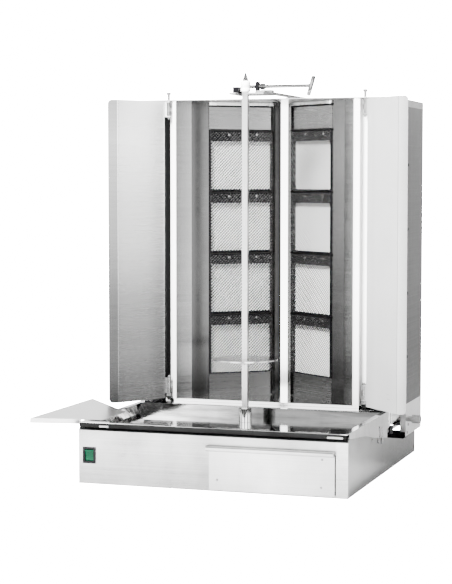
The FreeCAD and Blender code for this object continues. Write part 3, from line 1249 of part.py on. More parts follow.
def top_bearing():
    arm = block("arm_bar", ("arm_left", "arm_left + arm_width"),
                (from_front("arm_front"), from_front("arm_back")),
                ("arm_bottom", "arm_bottom + arm_thick"))
    spacer = block("arm_spacer", ("arm_left - spacer_over", "arm_left + arm_width + spacer_over"),
                   (from_front("spacer_front"), from_front("arm_back")), ("roof_top", "arm_bottom"))
    keep(fuse("arm_whole", [arm, spacer]), "support_arm")

    slide_top = "(arm_bottom - gap)"
    slot = "(sleeve_radius + gap)"
    right_edge = "(arm_left + arm_width + gap + keeper)"
    plate = block("slide_base", ("-jaw_left", right_edge),
                  (from_front("slide_plate_front"), from_front("slide_plate_back")),
                  (slide_top + " - slide_plate", slide_top))
    keep_y = (from_front("slide_plate_back - keeper_length"), from_front("slide_plate_back"))
    keeper_low = slide_top + " - over"
    keeper_high = "arm_bottom + arm_thick + gap + keeper"
    upright = block("keeper_upright", (right_edge + " - keeper", right_edge), keep_y,
                    (keeper_low, keeper_high))
    strap = block("keeper_strap", ("arm_left - gap - keeper", right_edge), keep_y,
                  ("arm_bottom + arm_thick + gap", keeper_high))
    inner = block("keeper_inner", ("arm_left - gap - keeper", "arm_left - gap"), keep_y,
                  (keeper_low, keeper_high))
    heights = (slide_top + " - slide_plate - over", "jaw_top + over")
    round_slot = rod("slot_round", slot, "z", heights, ("0", spit_y))
    mouth = block("slot_mouth", ("-" + slot, slot), (from_front("slide_plate_front - over"), spit_y),
                  heights)
    keep(cut("bearing_solid", fuse("bearing_whole", [plate, upright, strap, inner]), [round_slot, mouth]),
         "bearing_block")

    # A stop to the left of the sleeve, and an upright with the clamp screw's thread to the right of it.
    left_jaw = block("jaw_left_block", ("-jaw_left", "-%s + 2 * over" % slot),
                     (spit_y + " - jaw_half", spit_y + " + jaw_half"), (slide_top, "jaw_low"))
    right_jaw = block("jaw_right_block", ("jaw_right - upright_thick", "jaw_right"),
                      (spit_y + " - upright_half", spit_y + " + upright_half"), (slide_top, "jaw_top"))
    bore = rod("screw_bore", "screw_radius + shaft_play", "x", ("0", "jaw_right + over"),
               (spit_y, "screw_high"))
    keep(group("jaws_group", [cut("jaw_left_solid", left_jaw, [round_slot, mouth]),
                              cut("jaw_right_solid", right_jaw, [bore])]), "bearing_jaws")

    thread = rod("screw_thread", "screw_radius", "x", ("sleeve_radius + gap", "screw_thread_end"),
                 (spit_y, "screw_high"))
    plain = rod("screw_plain", "grip_rod_radius", "x", ("screw_thread_end", "grip_out"),
                (spit_y, "screw_high"))
    grip = doc.addObject("Part::Cylinder", "screw_grip")
    bind(grip, "Radius", "grip_radius")
    bind(grip, "Height", "grip_length")
    grip.Placement = FreeCAD.Placement(Vector(), FreeCAD.Rotation(Vector(1, 0, 0), 1))
    bind(grip, "Placement.Rotation.Angle", "-grip_tilt")
    bind(grip, "Placement.Base.x", "grip_out")
    bind(grip, "Placement.Base.y", spit_y + " - grip_length / 2 * sin(grip_tilt)")
    bind(grip, "Placement.Base.z", "screw_high - grip_length / 2 * cos(grip_tilt)")
    keep(fuse("screw_whole", [thread, plain, grip]), "clamp_screw")

    nut = doc.addObject("Part::Prism", "lock_nut_hex")
    nut.Polygon = 6
    bind(nut, "Circumradius", "nut_flat / sqrt(3)")
    bind(nut, "Height", "nut_thick - nut_facing")
    nut.Placement = FreeCAD.Placement(Vector(), FreeCAD.Rotation(Vector(0, 0, 1), Vector(1, 0, 0)))
    for letter, text in (("x", "nut_start + nut_facing"), ("y", spit_y), ("z", "screw_high")):
        bind(nut, "Placement.Base." + letter, text)
    facing = rod("nut_facing_disc", "nut_flat / 2", "x", ("nut_start", "nut_start + nut_facing + over"),
                 (spit_y, "screw_high"))
    hole = rod("nut_bore", "screw_radius", "x", ("jaw_right", "screw_thread_end"), (spit_y, "screw_high"))
    keep(cut("nut_solid", fuse("nut_whole", [nut, facing]), [hole]), "lock_nut")


# Loose shovel and cable gland

def meat_shovel():
    # A flat trapezoid with folded side lips, leaning on the inner edge of the tray's left rim.
    body = new_body("shovel_body")
    plan = sketch_on(body, "shovel_plan", "XY_Plane")
    far = "(shovel_reach - shovel_length)"
    wide = "(shovel_outer / 2)"
    narrow = "(shovel_inner / 2)"
    outline(plan, [(far, "-" + wide), ("shovel_reach", "-" + narrow), ("shovel_reach", narrow), (far, wide)])
    pad(body, plan, "sheet")
    slope = "((%s - %s) / shovel_length)" % (wide, narrow)
    lips = sketch_on(body, "shovel_lips", "XY_Plane")
    stop = "(-tray_rim - shovel_stop)"
    for side in ("-", ""):
        edge_far = wide
        edge_stop = "(%s - %s * (%s - %s))" % (wide, slope, stop, far)
        outline(lips, [(far, "%s%s" % (side, edge_far)), (stop, "%s%s" % (side, edge_stop)),
                       (stop, "%s(%s - sheet * 1.5)" % (side, edge_stop)),
                       (far, "%s(%s - sheet * 1.5)" % (side, edge_far))])
    pad(body, lips, "shovel_lip").Reversed = True
    place(body, "tray_rim - tray_width / 2", from_front("shovel_back"), "tray_top", (0, 1, 0), "shovel_tilt")
    keep(body, "meat_shovel")


def cable_gland():
    centre = ("-gland_out", "gland_high")
    stem = rod("gland_stem_rod", "gland_stem", "y", (rear + " - sheet - gland_radius", rear), centre)
    head = rod("gland_head", "gland_radius", "y", (rear, rear + " + gland_length"), centre)
    bore = rod("gland_bore_rod", "gland_bore", "y",
               (rear + " - sheet - gland_radius - over", rear + " + gland_length + over"), centre)
    keep(cut("gland_solid", fuse("gland_whole", [stem, head]), [bore]), "cable_gland")


base_shell()
base_floor()
feet()
drip_tray()
tray_frame()
drawer()
switch()
spit_drive()
spit()
slides()
housing()
wings()
centre_post()
burner_columns()
gas_line()
door(-1, "left", "180 + left_door_angle")
door(1, "right", "-right_door_angle")
hinges(-1, "left")
hinges(1, "right")
top_bearing()
meat_shovel()
cable_gland()

doc.recompute()
for thing in doc.Objects:
    if "Invalid" in thing.State or "Error" in thing.State:
        raise RuntimeError("%s (%s) failed: %s" % (thing.Name, thing.Label, thing.State))
for thing in kept:
    if thing.Shape.isNull() or not thing.Shape.isValid():
        raise RuntimeError("%s has no valid shape" % thing.Label)
os.makedirs("parts", exist_ok=True)
for thing in kept:
    thing.Shape.exportStep("parts/%s.step" % thing.Label)
    box = thing.Shape.BoundBox
    print("%-18s %2d solids %10.0f mm3  x %.1f..%.1f  y %.1f..%.1f  z %.1f..%.1f" % (
        thing.Label, len(thing.Shape.Solids), thing.Shape.Volume,
        box.XMin, box.XMax, box.YMin, box.YMax, box.ZMin, box.ZMax))
print("%d pieces" % len(kept))
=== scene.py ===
import math
import bmesh
import bpy
import numpy as np
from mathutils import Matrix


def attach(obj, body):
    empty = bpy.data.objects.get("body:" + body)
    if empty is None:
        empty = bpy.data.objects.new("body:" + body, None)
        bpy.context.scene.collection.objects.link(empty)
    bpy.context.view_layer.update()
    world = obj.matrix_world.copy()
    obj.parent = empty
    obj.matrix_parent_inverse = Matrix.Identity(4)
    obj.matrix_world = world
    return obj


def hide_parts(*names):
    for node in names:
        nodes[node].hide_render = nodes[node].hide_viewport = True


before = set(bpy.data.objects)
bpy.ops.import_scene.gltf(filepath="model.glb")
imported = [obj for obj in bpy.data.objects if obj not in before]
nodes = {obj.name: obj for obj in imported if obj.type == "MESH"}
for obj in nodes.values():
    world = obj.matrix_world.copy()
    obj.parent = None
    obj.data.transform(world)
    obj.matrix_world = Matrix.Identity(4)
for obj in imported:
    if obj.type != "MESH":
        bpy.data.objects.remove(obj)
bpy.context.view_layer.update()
print("frame loaded: %d nodes" % len(nodes))


# Camera: where the photograph was taken from.

view = dict(place=(1.10504, -3.52521, 0.63112), tilt=86.20, turn=18.44, lens=103.93, sensor=36, near=0.05,
            far=200)

cameraLens = bpy.data.cameras.new("camera")
cameraLens.lens = view["lens"]
cameraLens.sensor_width = view["sensor"]
cameraLens.clip_start = view["near"]
cameraLens.clip_end = view["far"]
camera = bpy.data.objects.new("camera", cameraLens)
camera.location = view["place"]
camera.rotation_euler = (math.radians(view["tilt"]), 0, math.radians(view["turn"]))
bpy.context.scene.collection.objects.link(camera)
bpy.context.scene.camera = camera


# Shader helpers

def newMaterial(name):
    # A material with an empty node tree.
    material = bpy.data.materials.new(name)
    material.use_nodes = True
    material.node_tree.nodes.clear()
    return material, material.node_tree


def add(tree, kind, settings=None, **values):
    # A shader node whose sockets are set from numbers, colours or other sockets. A socket is named by its
    # words, or by i and its number.
    step = tree.nodes.new(kind)
    for key, given in (settings or {}).items():
        setattr(step, key, given)
    for key, given in values.items():
        numbered = key[0] == "i" and key[1:].isdigit()
        socket = step.inputs[int(key[1:]) if numbered else key.replace("_", " ")]
        if isinstance(given, bpy.types.NodeSocket):
            tree.links.new(given, socket)
        elif socket.type == "RGBA" and len(given) == 3:
            socket.default_value = (*given, 1)
        else:
            socket.default_value = given
    return step


def arithmetic(tree, kind, first, second):
    # One operation on two values.
    return add(tree, "ShaderNodeMath", {"operation": kind}, i0=first, i1=second).outputs[0]


def coordinates(tree, scale):
    # Object coordinates stretched by a scale along each axis.
    source = add(tree, "ShaderNodeTexCoord")
    return add(tree, "ShaderNodeMapping", Vector=source.outputs["Object"], Scale=scale).outputs[0]


def noise(tree, scale, detail, rough):
    # Grey noise with its grain stretched by a scale along each axis.
    return add(tree, "ShaderNodeTexNoise", Vector=coordinates(tree, scale), Scale=1.0, Detail=detail,
               Roughness=rough).outputs[0]


def spread(tree, source, low, high, start=0.3, end=0.7):
    # A noise's middle range stretched to lie between two values.
    return add(tree, "ShaderNodeMapRange", Value=source, From_Min=start, From_Max=end, To_Min=low,
               To_Max=high).outputs[0]


def tint(tree, source, dark, light):
    # A colour between two others, led by a grey value.
    share = spread(tree, source, 0.0, 1.0)
    return add(tree, "ShaderNodeMix", {"data_type": "RGBA"}, Factor=share, i6=dark, i7=light).outputs[2]


def along(tree, axis, stops):
    # A grey that changes along one axis of the part: pairs of place in metres and grey.
    places = [place for place, grey in stops]
    low, high = min(places), max(places)
    source = add(tree, "ShaderNodeTexCoord").outputs["Object"]
    value = add(tree, "ShaderNodeSeparateXYZ", Vector=source).outputs["xyz".index(axis)]
    share = add(tree, "ShaderNodeMapRange", Value=value, From_Min=low, From_Max=high).outputs[0]
    ramp = add(tree, "ShaderNodeValToRGB", Fac=share)
    marks = ramp.color_ramp.elements
    while len(marks) < len(stops):
        marks.new(0.5)
    for mark, (place, grey) in zip(marks, stops):
        mark.position = (place - low) / (high - low)
        mark.color = (grey, grey, grey, 1)
    return add(tree, "ShaderNodeSeparateColor", Color=ramp.outputs[0]).outputs[0]


def finishMaterial(material, tree, **values):
    # The surface shader with its sockets, linked to the output.
    shader = add(tree, "ShaderNodeBsdfPrincipled", **values)
    add(tree, "ShaderNodeOutputMaterial", Surface=shader.outputs[0])
    return material


# Steel: fine brushed lines along one axis, and faint clouds of handling marks.
# Each tone is a list of greys along one axis: painted light and shade, the soft gradients, fold lines and
# reflections that bent sheet shows in a studio, set into the colour. Satin is a share of metal along one
# axis, and the inside share is painted shade, a darker share between two ranges.

steels = dict(
    # Base front: painted light and shade, darker towards the bottom and on the faces set back from the front,
    # brighter right of the drawer, and painted shade inside the shell.
    frontSteel=dict(grain=(2, 420, 420), grey=0.41, swing=0.11, rough=(0.26, 0.36), paintedShading=[
        ("x", [(-0.289, 0.95), (-0.20, 1.0), (-0.06, 1.0), (-0.010, 0.8), (0.262, 1.0), (0.266, 1.25)]),
        ("y", [(-0.315, 1.0), (-0.3135, 1.0), (-0.3125, 0.46), (-0.23, 0.40), (-0.05, 0.31), (0.315, 0.46)]),
        ("z", [(0.0, 0.75), (0.03, 0.8), (0.075, 1.0), (0.118, 1.0)])],
        paintedInsideShade=(0.15, ("x", [(-0.2884, 0), (-0.2880, 1), (0.2880, 1), (0.2884, 0)]),
                ("y", [(-0.3130, 0), (-0.3126, 1), (0.3136, 1), (0.3140, 0)]))),
    # Drawer front: painted light and shade across it.
    drawerSteel=dict(grain=(2, 420, 420), grey=0.54, swing=0.09, rough=(0.28, 0.36), paintedShading=[
        ("x", [(-0.006, 0.9), (0.02, 0.9), (0.13, 1.1), (0.19, 1.0), (0.24, 0.85), (0.262, 0.85)])]),
    wallSteel=dict(grain=(3, 900, 900), grey=0.45, swing=0.05, rough=(0.26, 0.36)),
    # Left door: a painted dark lower end, painted shade over the flange and a painted highlight along the
    # fold.
    leftDoorSteel=dict(grain=(1.5, 1.5, 450), grey=0.96, swing=0.015, rough=(0.22, 0.30), paintedShading=[
        ("x", [(-0.324, 0.15), (-0.3052, 0.15), (-0.3045, 0.45), (-0.3032, 0.45), (-0.3025, 0.75),
               (-0.29, 0.85), (-0.26, 1.0), (-0.2365, 0.9), (-0.2358, 1.0)]),
        ("z", [(0.135, 0.15), (0.16, 0.19), (0.30, 0.22), (0.37, 0.27), (0.42, 0.38), (0.48, 0.52),
               (0.58, 0.65), (0.72, 1.0), (0.80, 0.8)])]),
    # Right door: painted light and shade across it, a painted dark fold line before the flange and a darker
    # flange edge; it and the left door are one steel painted as two differently lit copies.
    rightDoorSteel=dict(grain=(1.5, 1.5, 450), grey=0.37, swing=0.015, rough=(0.30, 0.38), metal=0.4, paintedShading=[
        ("x", [(0.223, 0.45), (0.230, 0.6), (0.242, 0.8), (0.262, 1.0), (0.3225, 1.0), (0.3237, 0.4),
               (0.325, 0.85), (0.346, 0.6)])]),
    # Left wing: painted shade beside the door and on the facet by the burners, a painted highlight on the
    # bright strip, a painted dark fold line, and painted light rising towards the top.
    leftWingSteel=dict(grain=(1.5, 1.5, 450), grey=0.85, swing=0.015, rough=(0.14, 0.22), paintedShading=[
        ("x", [(-0.29, 0.025), (-0.2295, 0.025), (-0.2285, 1.0), (-0.2078, 1.0), (-0.2072, 0.30),
               (-0.1800, 0.52), (-0.1788, 0.52), (-0.1784, 0.03), (-0.1776, 0.045), (-0.146, 0.06),
               (-0.1448, 0.03)]),
        ("z", [(0.135, 0.6), (0.22, 0.7), (0.42, 1.0), (0.62, 1.0), (0.80, 0.9)])],
        satin=("x", [(-0.29, 1.0), (-0.2295, 1.0), (-0.2285, 0.15), (-0.2078, 0.15), (-0.2072, 1.0),
                     (-0.14, 1.0)])),
    # Right wing: painted shade on the facet by the burners, a painted dark fold line, a painted highlight on
    # the bright strip, and painted light rising towards the top.
    rightWingSteel=dict(grain=(1.5, 1.5, 450), grey=0.85, swing=0.015, rough=(0.14, 0.22), paintedShading=[
        ("x", [(0.1448, 0.06), (0.146, 0.11), (0.1776, 0.12), (0.1784, 0.05), (0.1792, 0.25), (0.2028, 0.34),
               (0.2034, 1.0), (0.2288, 1.0), (0.2300, 0.3), (0.29, 0.3)]),
        ("z", [(0.135, 0.6), (0.22, 0.7), (0.36, 0.95), (0.62, 1.0), (0.80, 1.0)])],
        satin=("x", [(0.14, 1.0), (0.2028, 1.0), (0.2034, 0.15), (0.2288, 0.15), (0.2300, 1.0),
                     (0.29, 1.0)])),
    # Burner frames: painted shade behind the burners, between the lighter blank panels at top and bottom; the
    # two copies differ only in painted light.
    leftFrameSteel=dict(grain=(1.5, 1.5, 450), grey=0.45, swing=0.015, rough=(0.24, 0.32), paintedShading=[
        ("z", [(0.135, 0.27), (0.188, 0.19), (0.19, 0.08), (0.744, 0.08), (0.746, 0.50), (0.80, 0.47)])]),
    rightFrameSteel=dict(grain=(1.5, 1.5, 450), grey=0.5, swing=0.015, rough=(0.24, 0.32), paintedShading=[
        ("z", [(0.135, 0.45), (0.188, 0.33), (0.19, 0.10), (0.744, 0.10), (0.746, 0.52), (0.80, 0.49)])]),
    # Centre post: painted reflections, bright and dark bands across its faces.
    postSteel=dict(grain=(500, 500, 4), grey=0.85, swing=0.02, rough=(0.10, 0.16), paintedShading=[
        ("x", [(-0.024, 0.3), (-0.0225, 0.10), (-0.0105, 0.02), (-0.0080, 0.01), (-0.0074, 1.0),
               (0.0088, 1.0), (0.0090, 0.74), (0.0225, 0.64), (0.024, 0.3)])]),
    mirrorSteel=dict(grain=(60, 60, 60), grey=0.7, swing=0.05, rough=(0.05, 0.10)),
    # Tray: painted reflections, bright at both rims and darker towards the right, and broken into lines.
    traySteel=dict(grain=(14, 60, 40), grey=0.28, swing=0.05, rough=(0.04, 0.10), dents=(9, 38, 9),
                   paintedReflections=dict(grain=(4, 110, 40), dark=0.35, aprons=[
                       (-0.2860, 1.0), (-0.2850, 0.0), (0.2850, 0.0), (0.2860, 1.0)]),
                   paintedShading=[("x", [(-0.287, 2.8), (-0.1, 1.3), (0.0, 0.36), (0.27, 0.42), (0.2845, 2.4),
                                 (0.288, 2.4)])]),
    floorSteel=dict(grain=(60, 60, 60), grey=0.7, swing=0.05, rough=(0.12, 0.2)),
    # Side covers: painted light and shade, darker towards the bottom and the front.
    coverSteel=dict(grain=(1.5, 1.5, 450), grey=0.16, swing=0.02, rough=(0.34, 0.44), paintedShading=[
        ("y", [(0.063, 0.75), (0.372, 1.2)]),
        ("z", [(0.124, 0.33), (0.25, 0.5), (0.40, 0.85), (0.70, 1.15), (0.79, 1.5)])]),
    skirtSteel=dict(grain=(1.5, 1.5, 450), grey=0.78, swing=0.04, rough=(0.3, 0.4)),
    shovelSteel=dict(grain=(200, 200, 200), grey=0.92, swing=0.03, rough=(0.3, 0.4)),
    roofSteel=dict(grain=(4, 500, 500), grey=0.7, swing=0.04, rough=(0.25, 0.35)),
    spitSteel=dict(grain=(400, 400, 6), grey=0.34, swing=0.03, rough=(0.26, 0.34)),
    discSteel=dict(grain=(120, 120, 120), grey=0.31, swing=0.04, rough=(0.14, 0.2)),
    clampSteel=dict(grain=(400, 400, 400), grey=0.26, swing=0.04, rough=(0.24, 0.32)),
    barSteel=dict(grain=(400, 400, 6), grey=0.32, swing=0.04, rough=(0.26, 0.34)),
    turnedSteel=dict(grain=(700, 700, 700), grey=0.20, swing=0.06, rough=(0.18, 0.28)),
    pipeSteel=dict(grain=(300, 300, 300), grey=0.45, swing=0.05, rough=(0.28, 0.4)),
    meshSteel=dict(grain=(300, 300, 300), grey=0.09, swing=0.03, rough=(0.2, 0.3)),
    # Near-black steel whose colour is painted shade, for the strips in the gaps: column joints, header gaps
    # and rails.
    paintedShadeSteel=dict(grain=(300, 300, 300), grey=0.015, swing=0.005, rough=(0.35, 0.5)),
)

# What every steel has: the clouds' scale, how far they change the shine, blue beside red and green, and the
# depth of the brushed lines and of the dents.
brushed = dict(clouds=(9, 9, 7), shine=0.03, blue=0.995, lines=dict(strength=0.06, depth=0.0002),
               dents=dict(strength=0.4, depth=0.0005))


def steel(name, grain, grey, swing, rough, paintedShading=(), metal=1.0, paintedReflections=None, satin=None, paintedInsideShade=None,
          dents=None):
    # Grey plus clouds plus lines, times each tone along its axis.
    material, tree = newMaterial(name)
    lines = noise(tree, grain, detail=3.0, rough=0.6)
    clouds = noise(tree, brushed["clouds"], detail=5.0, rough=0.6)
    shade = arithmetic(tree, "ADD", spread(tree, clouds, grey - swing, grey + swing),
                       # Grey plus clouds plus lines, times each tone of painted light and shade along its
                       # axis.
                       spread(tree, lines, -swing / 2, swing / 2))
    for axis, stops in paintedShading:
        shade = arithmetic(tree, "MULTIPLY", shade, along(tree, axis, stops))
    if paintedReflections:
        # Painted reflections broken into lines, on the tray's floor and not on its side aprons.
        patches = noise(tree, paintedReflections["grain"], detail=5.0, rough=0.6)
        lined = spread(tree, patches, paintedReflections["dark"], 1.0, start=0.4, end=0.6)
        apron = along(tree, "x", paintedReflections["aprons"])
        shade = arithmetic(tree, "MULTIPLY", shade, arithmetic(tree, "MAXIMUM", lined, apron))
    if paintedInsideShade:
        # Painted shade behind the walls, where no light is mirrored: within both ranges the grey falls to a
        # share.
        share, across, deep = paintedInsideShade
        within = arithmetic(tree, "MULTIPLY", along(tree, *across), along(tree, *deep))
        darker = spread(tree, within, 1.0, share, start=0.0, end=1.0)
        shade = arithmetic(tree, "MULTIPLY", shade, darker)
    blue = arithmetic(tree, "MULTIPLY", shade, brushed["blue"])
    colour = add(tree, "ShaderNodeCombineColor", i0=shade, i1=shade, i2=blue)
    shine = arithmetic(tree, "ADD", spread(tree, lines, rough[0], rough[1]),
                       spread(tree, clouds, -brushed["shine"], brushed["shine"]))
    if satin:
        metal = along(tree, *satin)
    bump = add(tree, "ShaderNodeBump", Strength=brushed["lines"]["strength"],
               Distance=brushed["lines"]["depth"], Height=lines)
    if dents:
        hollows = noise(tree, dents, detail=2.0, rough=0.5)
        bump = add(tree, "ShaderNodeBump", Strength=brushed["dents"]["strength"],
                   Distance=brushed["dents"]["depth"], Height=hollows, Normal=bump.outputs[0])
    return finishMaterial(material, tree, Base_Color=colour.outputs[0], Metallic=metal, Roughness=shine,
                          Normal=bump.outputs[0])


materials = {name: steel(name, **given) for name, given in steels.items()}


# Plain matter: paint, plastic, rubber and ceramic with their own grain.

matter = dict(
    blackPaint=dict(dark=(0.002, 0.002, 0.0025), light=(0.006, 0.006, 0.0065), rough=(0.38, 0.55), grain=900,
                    depth=0.25, gloss=0.03),
    blackPlastic=dict(dark=(0.003, 0.003, 0.0035), light=(0.007, 0.007, 0.0075), rough=(0.28, 0.42),
                      grain=1400, depth=0.2, gloss=0.03),
    whitePlastic=dict(dark=(0.84, 0.84, 0.83), light=(0.92, 0.92, 0.91), rough=(0.32, 0.45), grain=900,
                      depth=0.1),
    greenPlastic=dict(dark=(0.001, 0.007, 0.004), light=(0.001, 0.028, 0.013), rough=(0.10, 0.2), grain=300,
                      depth=0.05, gloss=0.08),
    rubber=dict(dark=(0.003, 0.003, 0.003), light=(0.007, 0.007, 0.007), rough=(0.6, 0.8), grain=1600,
                depth=0.3, gloss=0.03),
    motorPaint=dict(dark=(0.05, 0.055, 0.06), light=(0.08, 0.085, 0.09), rough=(0.4, 0.55), grain=1100,
                    depth=0.3),
    ceramic=dict(dark=(0.90, 0.895, 0.88), light=(0.98, 0.975, 0.965), rough=(0.75, 0.9), grain=420,
                 depth=0.6),
)

# What all of it has: the clouds' scale and the depth of the grain.
grained = dict(clouds=(14, 14, 14), depth=0.0002)


def plain(name, dark, light, rough, grain, depth, gloss=0.5):
    # Clouds lead the colour, and a fine grain leads the roughness and the bump.
    material, tree = newMaterial(name)
    fine = noise(tree, (grain, grain, grain), detail=3.0, rough=0.6)
    clouds = noise(tree, grained["clouds"], detail=4.0, rough=0.55)
    bump = add(tree, "ShaderNodeBump", Strength=depth, Distance=grained["depth"], Height=fine)
    return finishMaterial(material, tree, Base_Color=tint(tree, clouds, dark, light), Metallic=0.0,
                          Roughness=spread(tree, fine, rough[0], rough[1]), Specular_IOR_Level=gloss,
                          Normal=bump.outputs[0])


materials.update({name: plain(name, **given) for name, given in matter.items()})


# Which material each CAD node shows.

finish = dict(
    frontSteel="base_shell",
    drawerSteel="drawer_front",
    wallSteel="base_floor drawer_box motor_bracket back_cover",
    leftDoorSteel="left_door",
    rightDoorSteel="right_door",
    leftWingSteel="left_wing",
    rightWingSteel="right_wing",
    leftFrameSteel="left_burner_frame",
    rightFrameSteel="right_burner_frame",
    postSteel="centre_post",
    roofSteel="roof",
    floorSteel="tower_floor",
    mirrorSteel="drive_socket",
    traySteel="drip_tray",
    coverSteel="left_side_cover right_side_cover",
    skirtSteel="left_skirt right_skirt",
    shovelSteel="meat_shovel",
    barSteel="guide_rods support_arm bearing_block",
    spitSteel="spit_rod",
    discSteel="meat_disc",
    turnedSteel="rod_plates left_hinges right_hinges drawer_runners gearbox disc_collar clamp_screw lock_nut",
    pipeSteel="gas_manifold feed_pipes tap_bodies",
    blackPaint="tray_frame slide_carriages bearing_jaws left_burner_1 left_burner_2 left_burner_3 "
               "left_burner_4 right_burner_1 right_burner_2 right_burner_3 right_burner_4",
    blackPlastic="switch_housing cable_gland tap_lever_1 tap_lever_2 tap_lever_3 tap_lever_4",
    whitePlastic="spit_sleeve",
    greenPlastic="switch_rocker",
    rubber="feet",
    motorPaint="gear_motor",
    ceramic="ceramic_tiles",
)

dressed = {name: material for material, text in finish.items() for name in text.split()}
for name, node in nodes.items():
    node.data.materials.clear()
    node.data.materials.append(materials[dressed[name]])
print("materials on %d nodes" % len(dressed))


# Broken edges on the sheets and blocks, so that folds and rims catch the light.

edges = dict(segments=2, angle=40, kinds=dict(
    sheets=dict(width=0.0004, names="base_shell drawer_front left_door right_door left_wing right_wing roof "
                                    "centre_post left_side_cover right_side_cover left_skirt right_skirt"),
    blocks=dict(width=0.0005, names="support_arm bearing_block bearing_jaws switch_housing tray_frame "
                                    "rod_plates"),
))
for kind, edge in edges["kinds"].items():
    for name in edge["names"].split():
        bevel = nodes[name].modifiers.new(kind, "BEVEL")
        bevel.width = edge["width"]
        bevel.segments = edges["segments"]
        bevel.limit_method = "ANGLE"
        bevel.angle_limit = math.radians(edges["angle"])


# Mesh helpers: surfaces as arrays of points and quads, in metres.

def grid(x, y, z):
    # Points from three arrays that spread over rows and columns.
    return np.stack(np.broadcast_arrays(x, y, z), axis=-1)


def sheetOf(points, aroundClosed=False, caps=False):
    # Quads over a grid of points (rows, columns, 3). Its rows may close into rings, and the first and the
    # last may be capped.
    rows, columns = points.shape[:2]
    number = np.arange(rows * columns).reshape(rows, columns)
    right = np.roll(number, -1, axis=1)
    last = columns if aroundClosed else columns - 1
    quads = np.stack([number[:-1, :last], right[:-1, :last], right[1:, :last], number[1:, :last]], axis=-1)
    faces = [quads.reshape(-1, 4)]
    if caps:
        faces += [number[:1, ::-1], number[-1:]]
    return points.reshape(-1, 3), faces


def joined(parts):
    # Several surfaces as one: the point numbers in each one's faces move past the points before it.
    points, faces, start = [], [], 0
    for corners, sides in parts:
        points.append(corners)
        faces += [side + start for side in sides]
        start += len(corners)
    return np.concatenate(points), faces


def piece(name, part, body, material, replaces=()):
    # A finished mesh that rides on a CAD body, with its doubles merged and its faces turned outwards.
    points, faces = part
    mesh = bpy.data.meshes.new(name)
    mesh.from_pydata(points.tolist(), [], [face for group in faces for face in group.tolist()])
    shell = bmesh.new()
    shell.from_mesh(mesh)
    bmesh.ops.remove_doubles(shell, verts=shell.verts, dist=1e-6)
    bmesh.ops.recalc_face_normals(shell, faces=shell.faces)
    shell.to_mesh(mesh)
    shell.free()
    mesh.validate()
    mesh.polygons.foreach_set("use_smooth", np.full(len(mesh.polygons), True))
    mesh.materials.append(materials[material])
    item = bpy.data.objects.new(name, mesh)
    bpy.context.scene.collection.objects.link(item)
    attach(item, body)
    if replaces:
        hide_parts(*replaces)


def frameOf(direction):
    # The direction at length 1, and two directions square to it.
    direction = np.asarray(direction, float) / np.linalg.norm(direction)
    helper = np.array([0, 0, 1.0]) if abs(direction[2]) < 0.9 else np.array([1.0, 0, 0])
    first = np.cross(helper, direction)
    first /= np.linalg.norm(first)
    return direction, first, np.cross(direction, first)


def turned(profile, start, direction, sides=32, reach=None):
    # A turned body over pairs of height and radius: start + direction * height + radius * reach * (first *
    # cos + second * sin) of the angle, where reach(angle, height) scales the radius.
    direction, first, second = frameOf(direction)
    height, radius = np.transpose(profile)[:, :, None]
    angle = np.linspace(0, 2 * math.pi, sides, endpoint=False)
    size = radius * reach(angle, height) if reach else radius
    ring = (size * np.cos(angle))[..., None] * first + (size * np.sin(angle))[..., None] * second
    return sheetOf(np.asarray(start) + height[..., None] * direction + ring, aroundClosed=True, caps=True)


# The dome of a screw or rivet head: pairs of the share of its radius and the share of its height.
dome = dict(rings=[(1.0, 0.0), (1.0, 0.35), (0.94, 0.6), (0.8, 0.78), (0.6, 0.9), (0.4, 0.96), (0.2, 0.99),
                   (0.04, 1.0)], sides=20, slotDepth=0.45, slotReach=0.9)


def domedHead(start, direction, radius, head, slot):
    # A domed head that sits on a surface: rings of points, lowered where they lie within half a slot's width
    # of its middle line. A slot of 0 leaves the dome whole.
    direction, first, second = frameOf(direction)
    share, lift = np.transpose(dome["rings"])[:, :, None]
    angle = np.linspace(0, 2 * math.pi, dome["sides"], endpoint=False)
    x = np.cos(angle) * share * radius
    y = np.sin(angle) * share * radius
    down = np.where(np.abs(y) < slot, head * dome["slotDepth"], 0.0) * (share < dome["slotReach"])
    rise = head * lift - down
    rings = x[..., None] * first + y[..., None] * second + rise[..., None] * direction
    return sheetOf(np.asarray(start) + rings, aroundClosed=True, caps=True)


# Burner columns: places along a column are measured from its left edge, and behind is away from the spit.

columnTurn = math.radians(38.3)
columns = dict(
    left=dict(start=(-0.1448, 0.1001), turn=columnTurn, screws=(0.0478, 0.115)),
    right=dict(start=(0.0233, 0.19605), turn=-columnTurn, screws=(0.059, 0.1275)),
)
burnerRows = dict(count=4, first=0.1883, pitch=0.1395, joint=0.0015, width=0.1548, inset=0.0026)


def inColumn(side, across, behind, z):
    # World points of places in a column: its start, turned by its angle about the upright.
    column = columns[side]
    cos, sin = math.cos(column["turn"]), math.sin(column["turn"])
    x = column["start"][0] + across * cos - behind * sin
    y = column["start"][1] + across * sin + behind * cos
    return grid(x, y, z)


# Woven wire mesh: the wires run at 45 degrees both ways, thin ones one way and thick ones the other, and each
# dips behind and in front of the ones that cross it. Wires gives each slope's radius.

weave = dict(pitch=0.0050, wires={1: 0.00042, -1: 0.00115}, behind=-0.0044, steps=2, sides=4, slant=0.7,
             edge=0.0006, rail=0.0052)


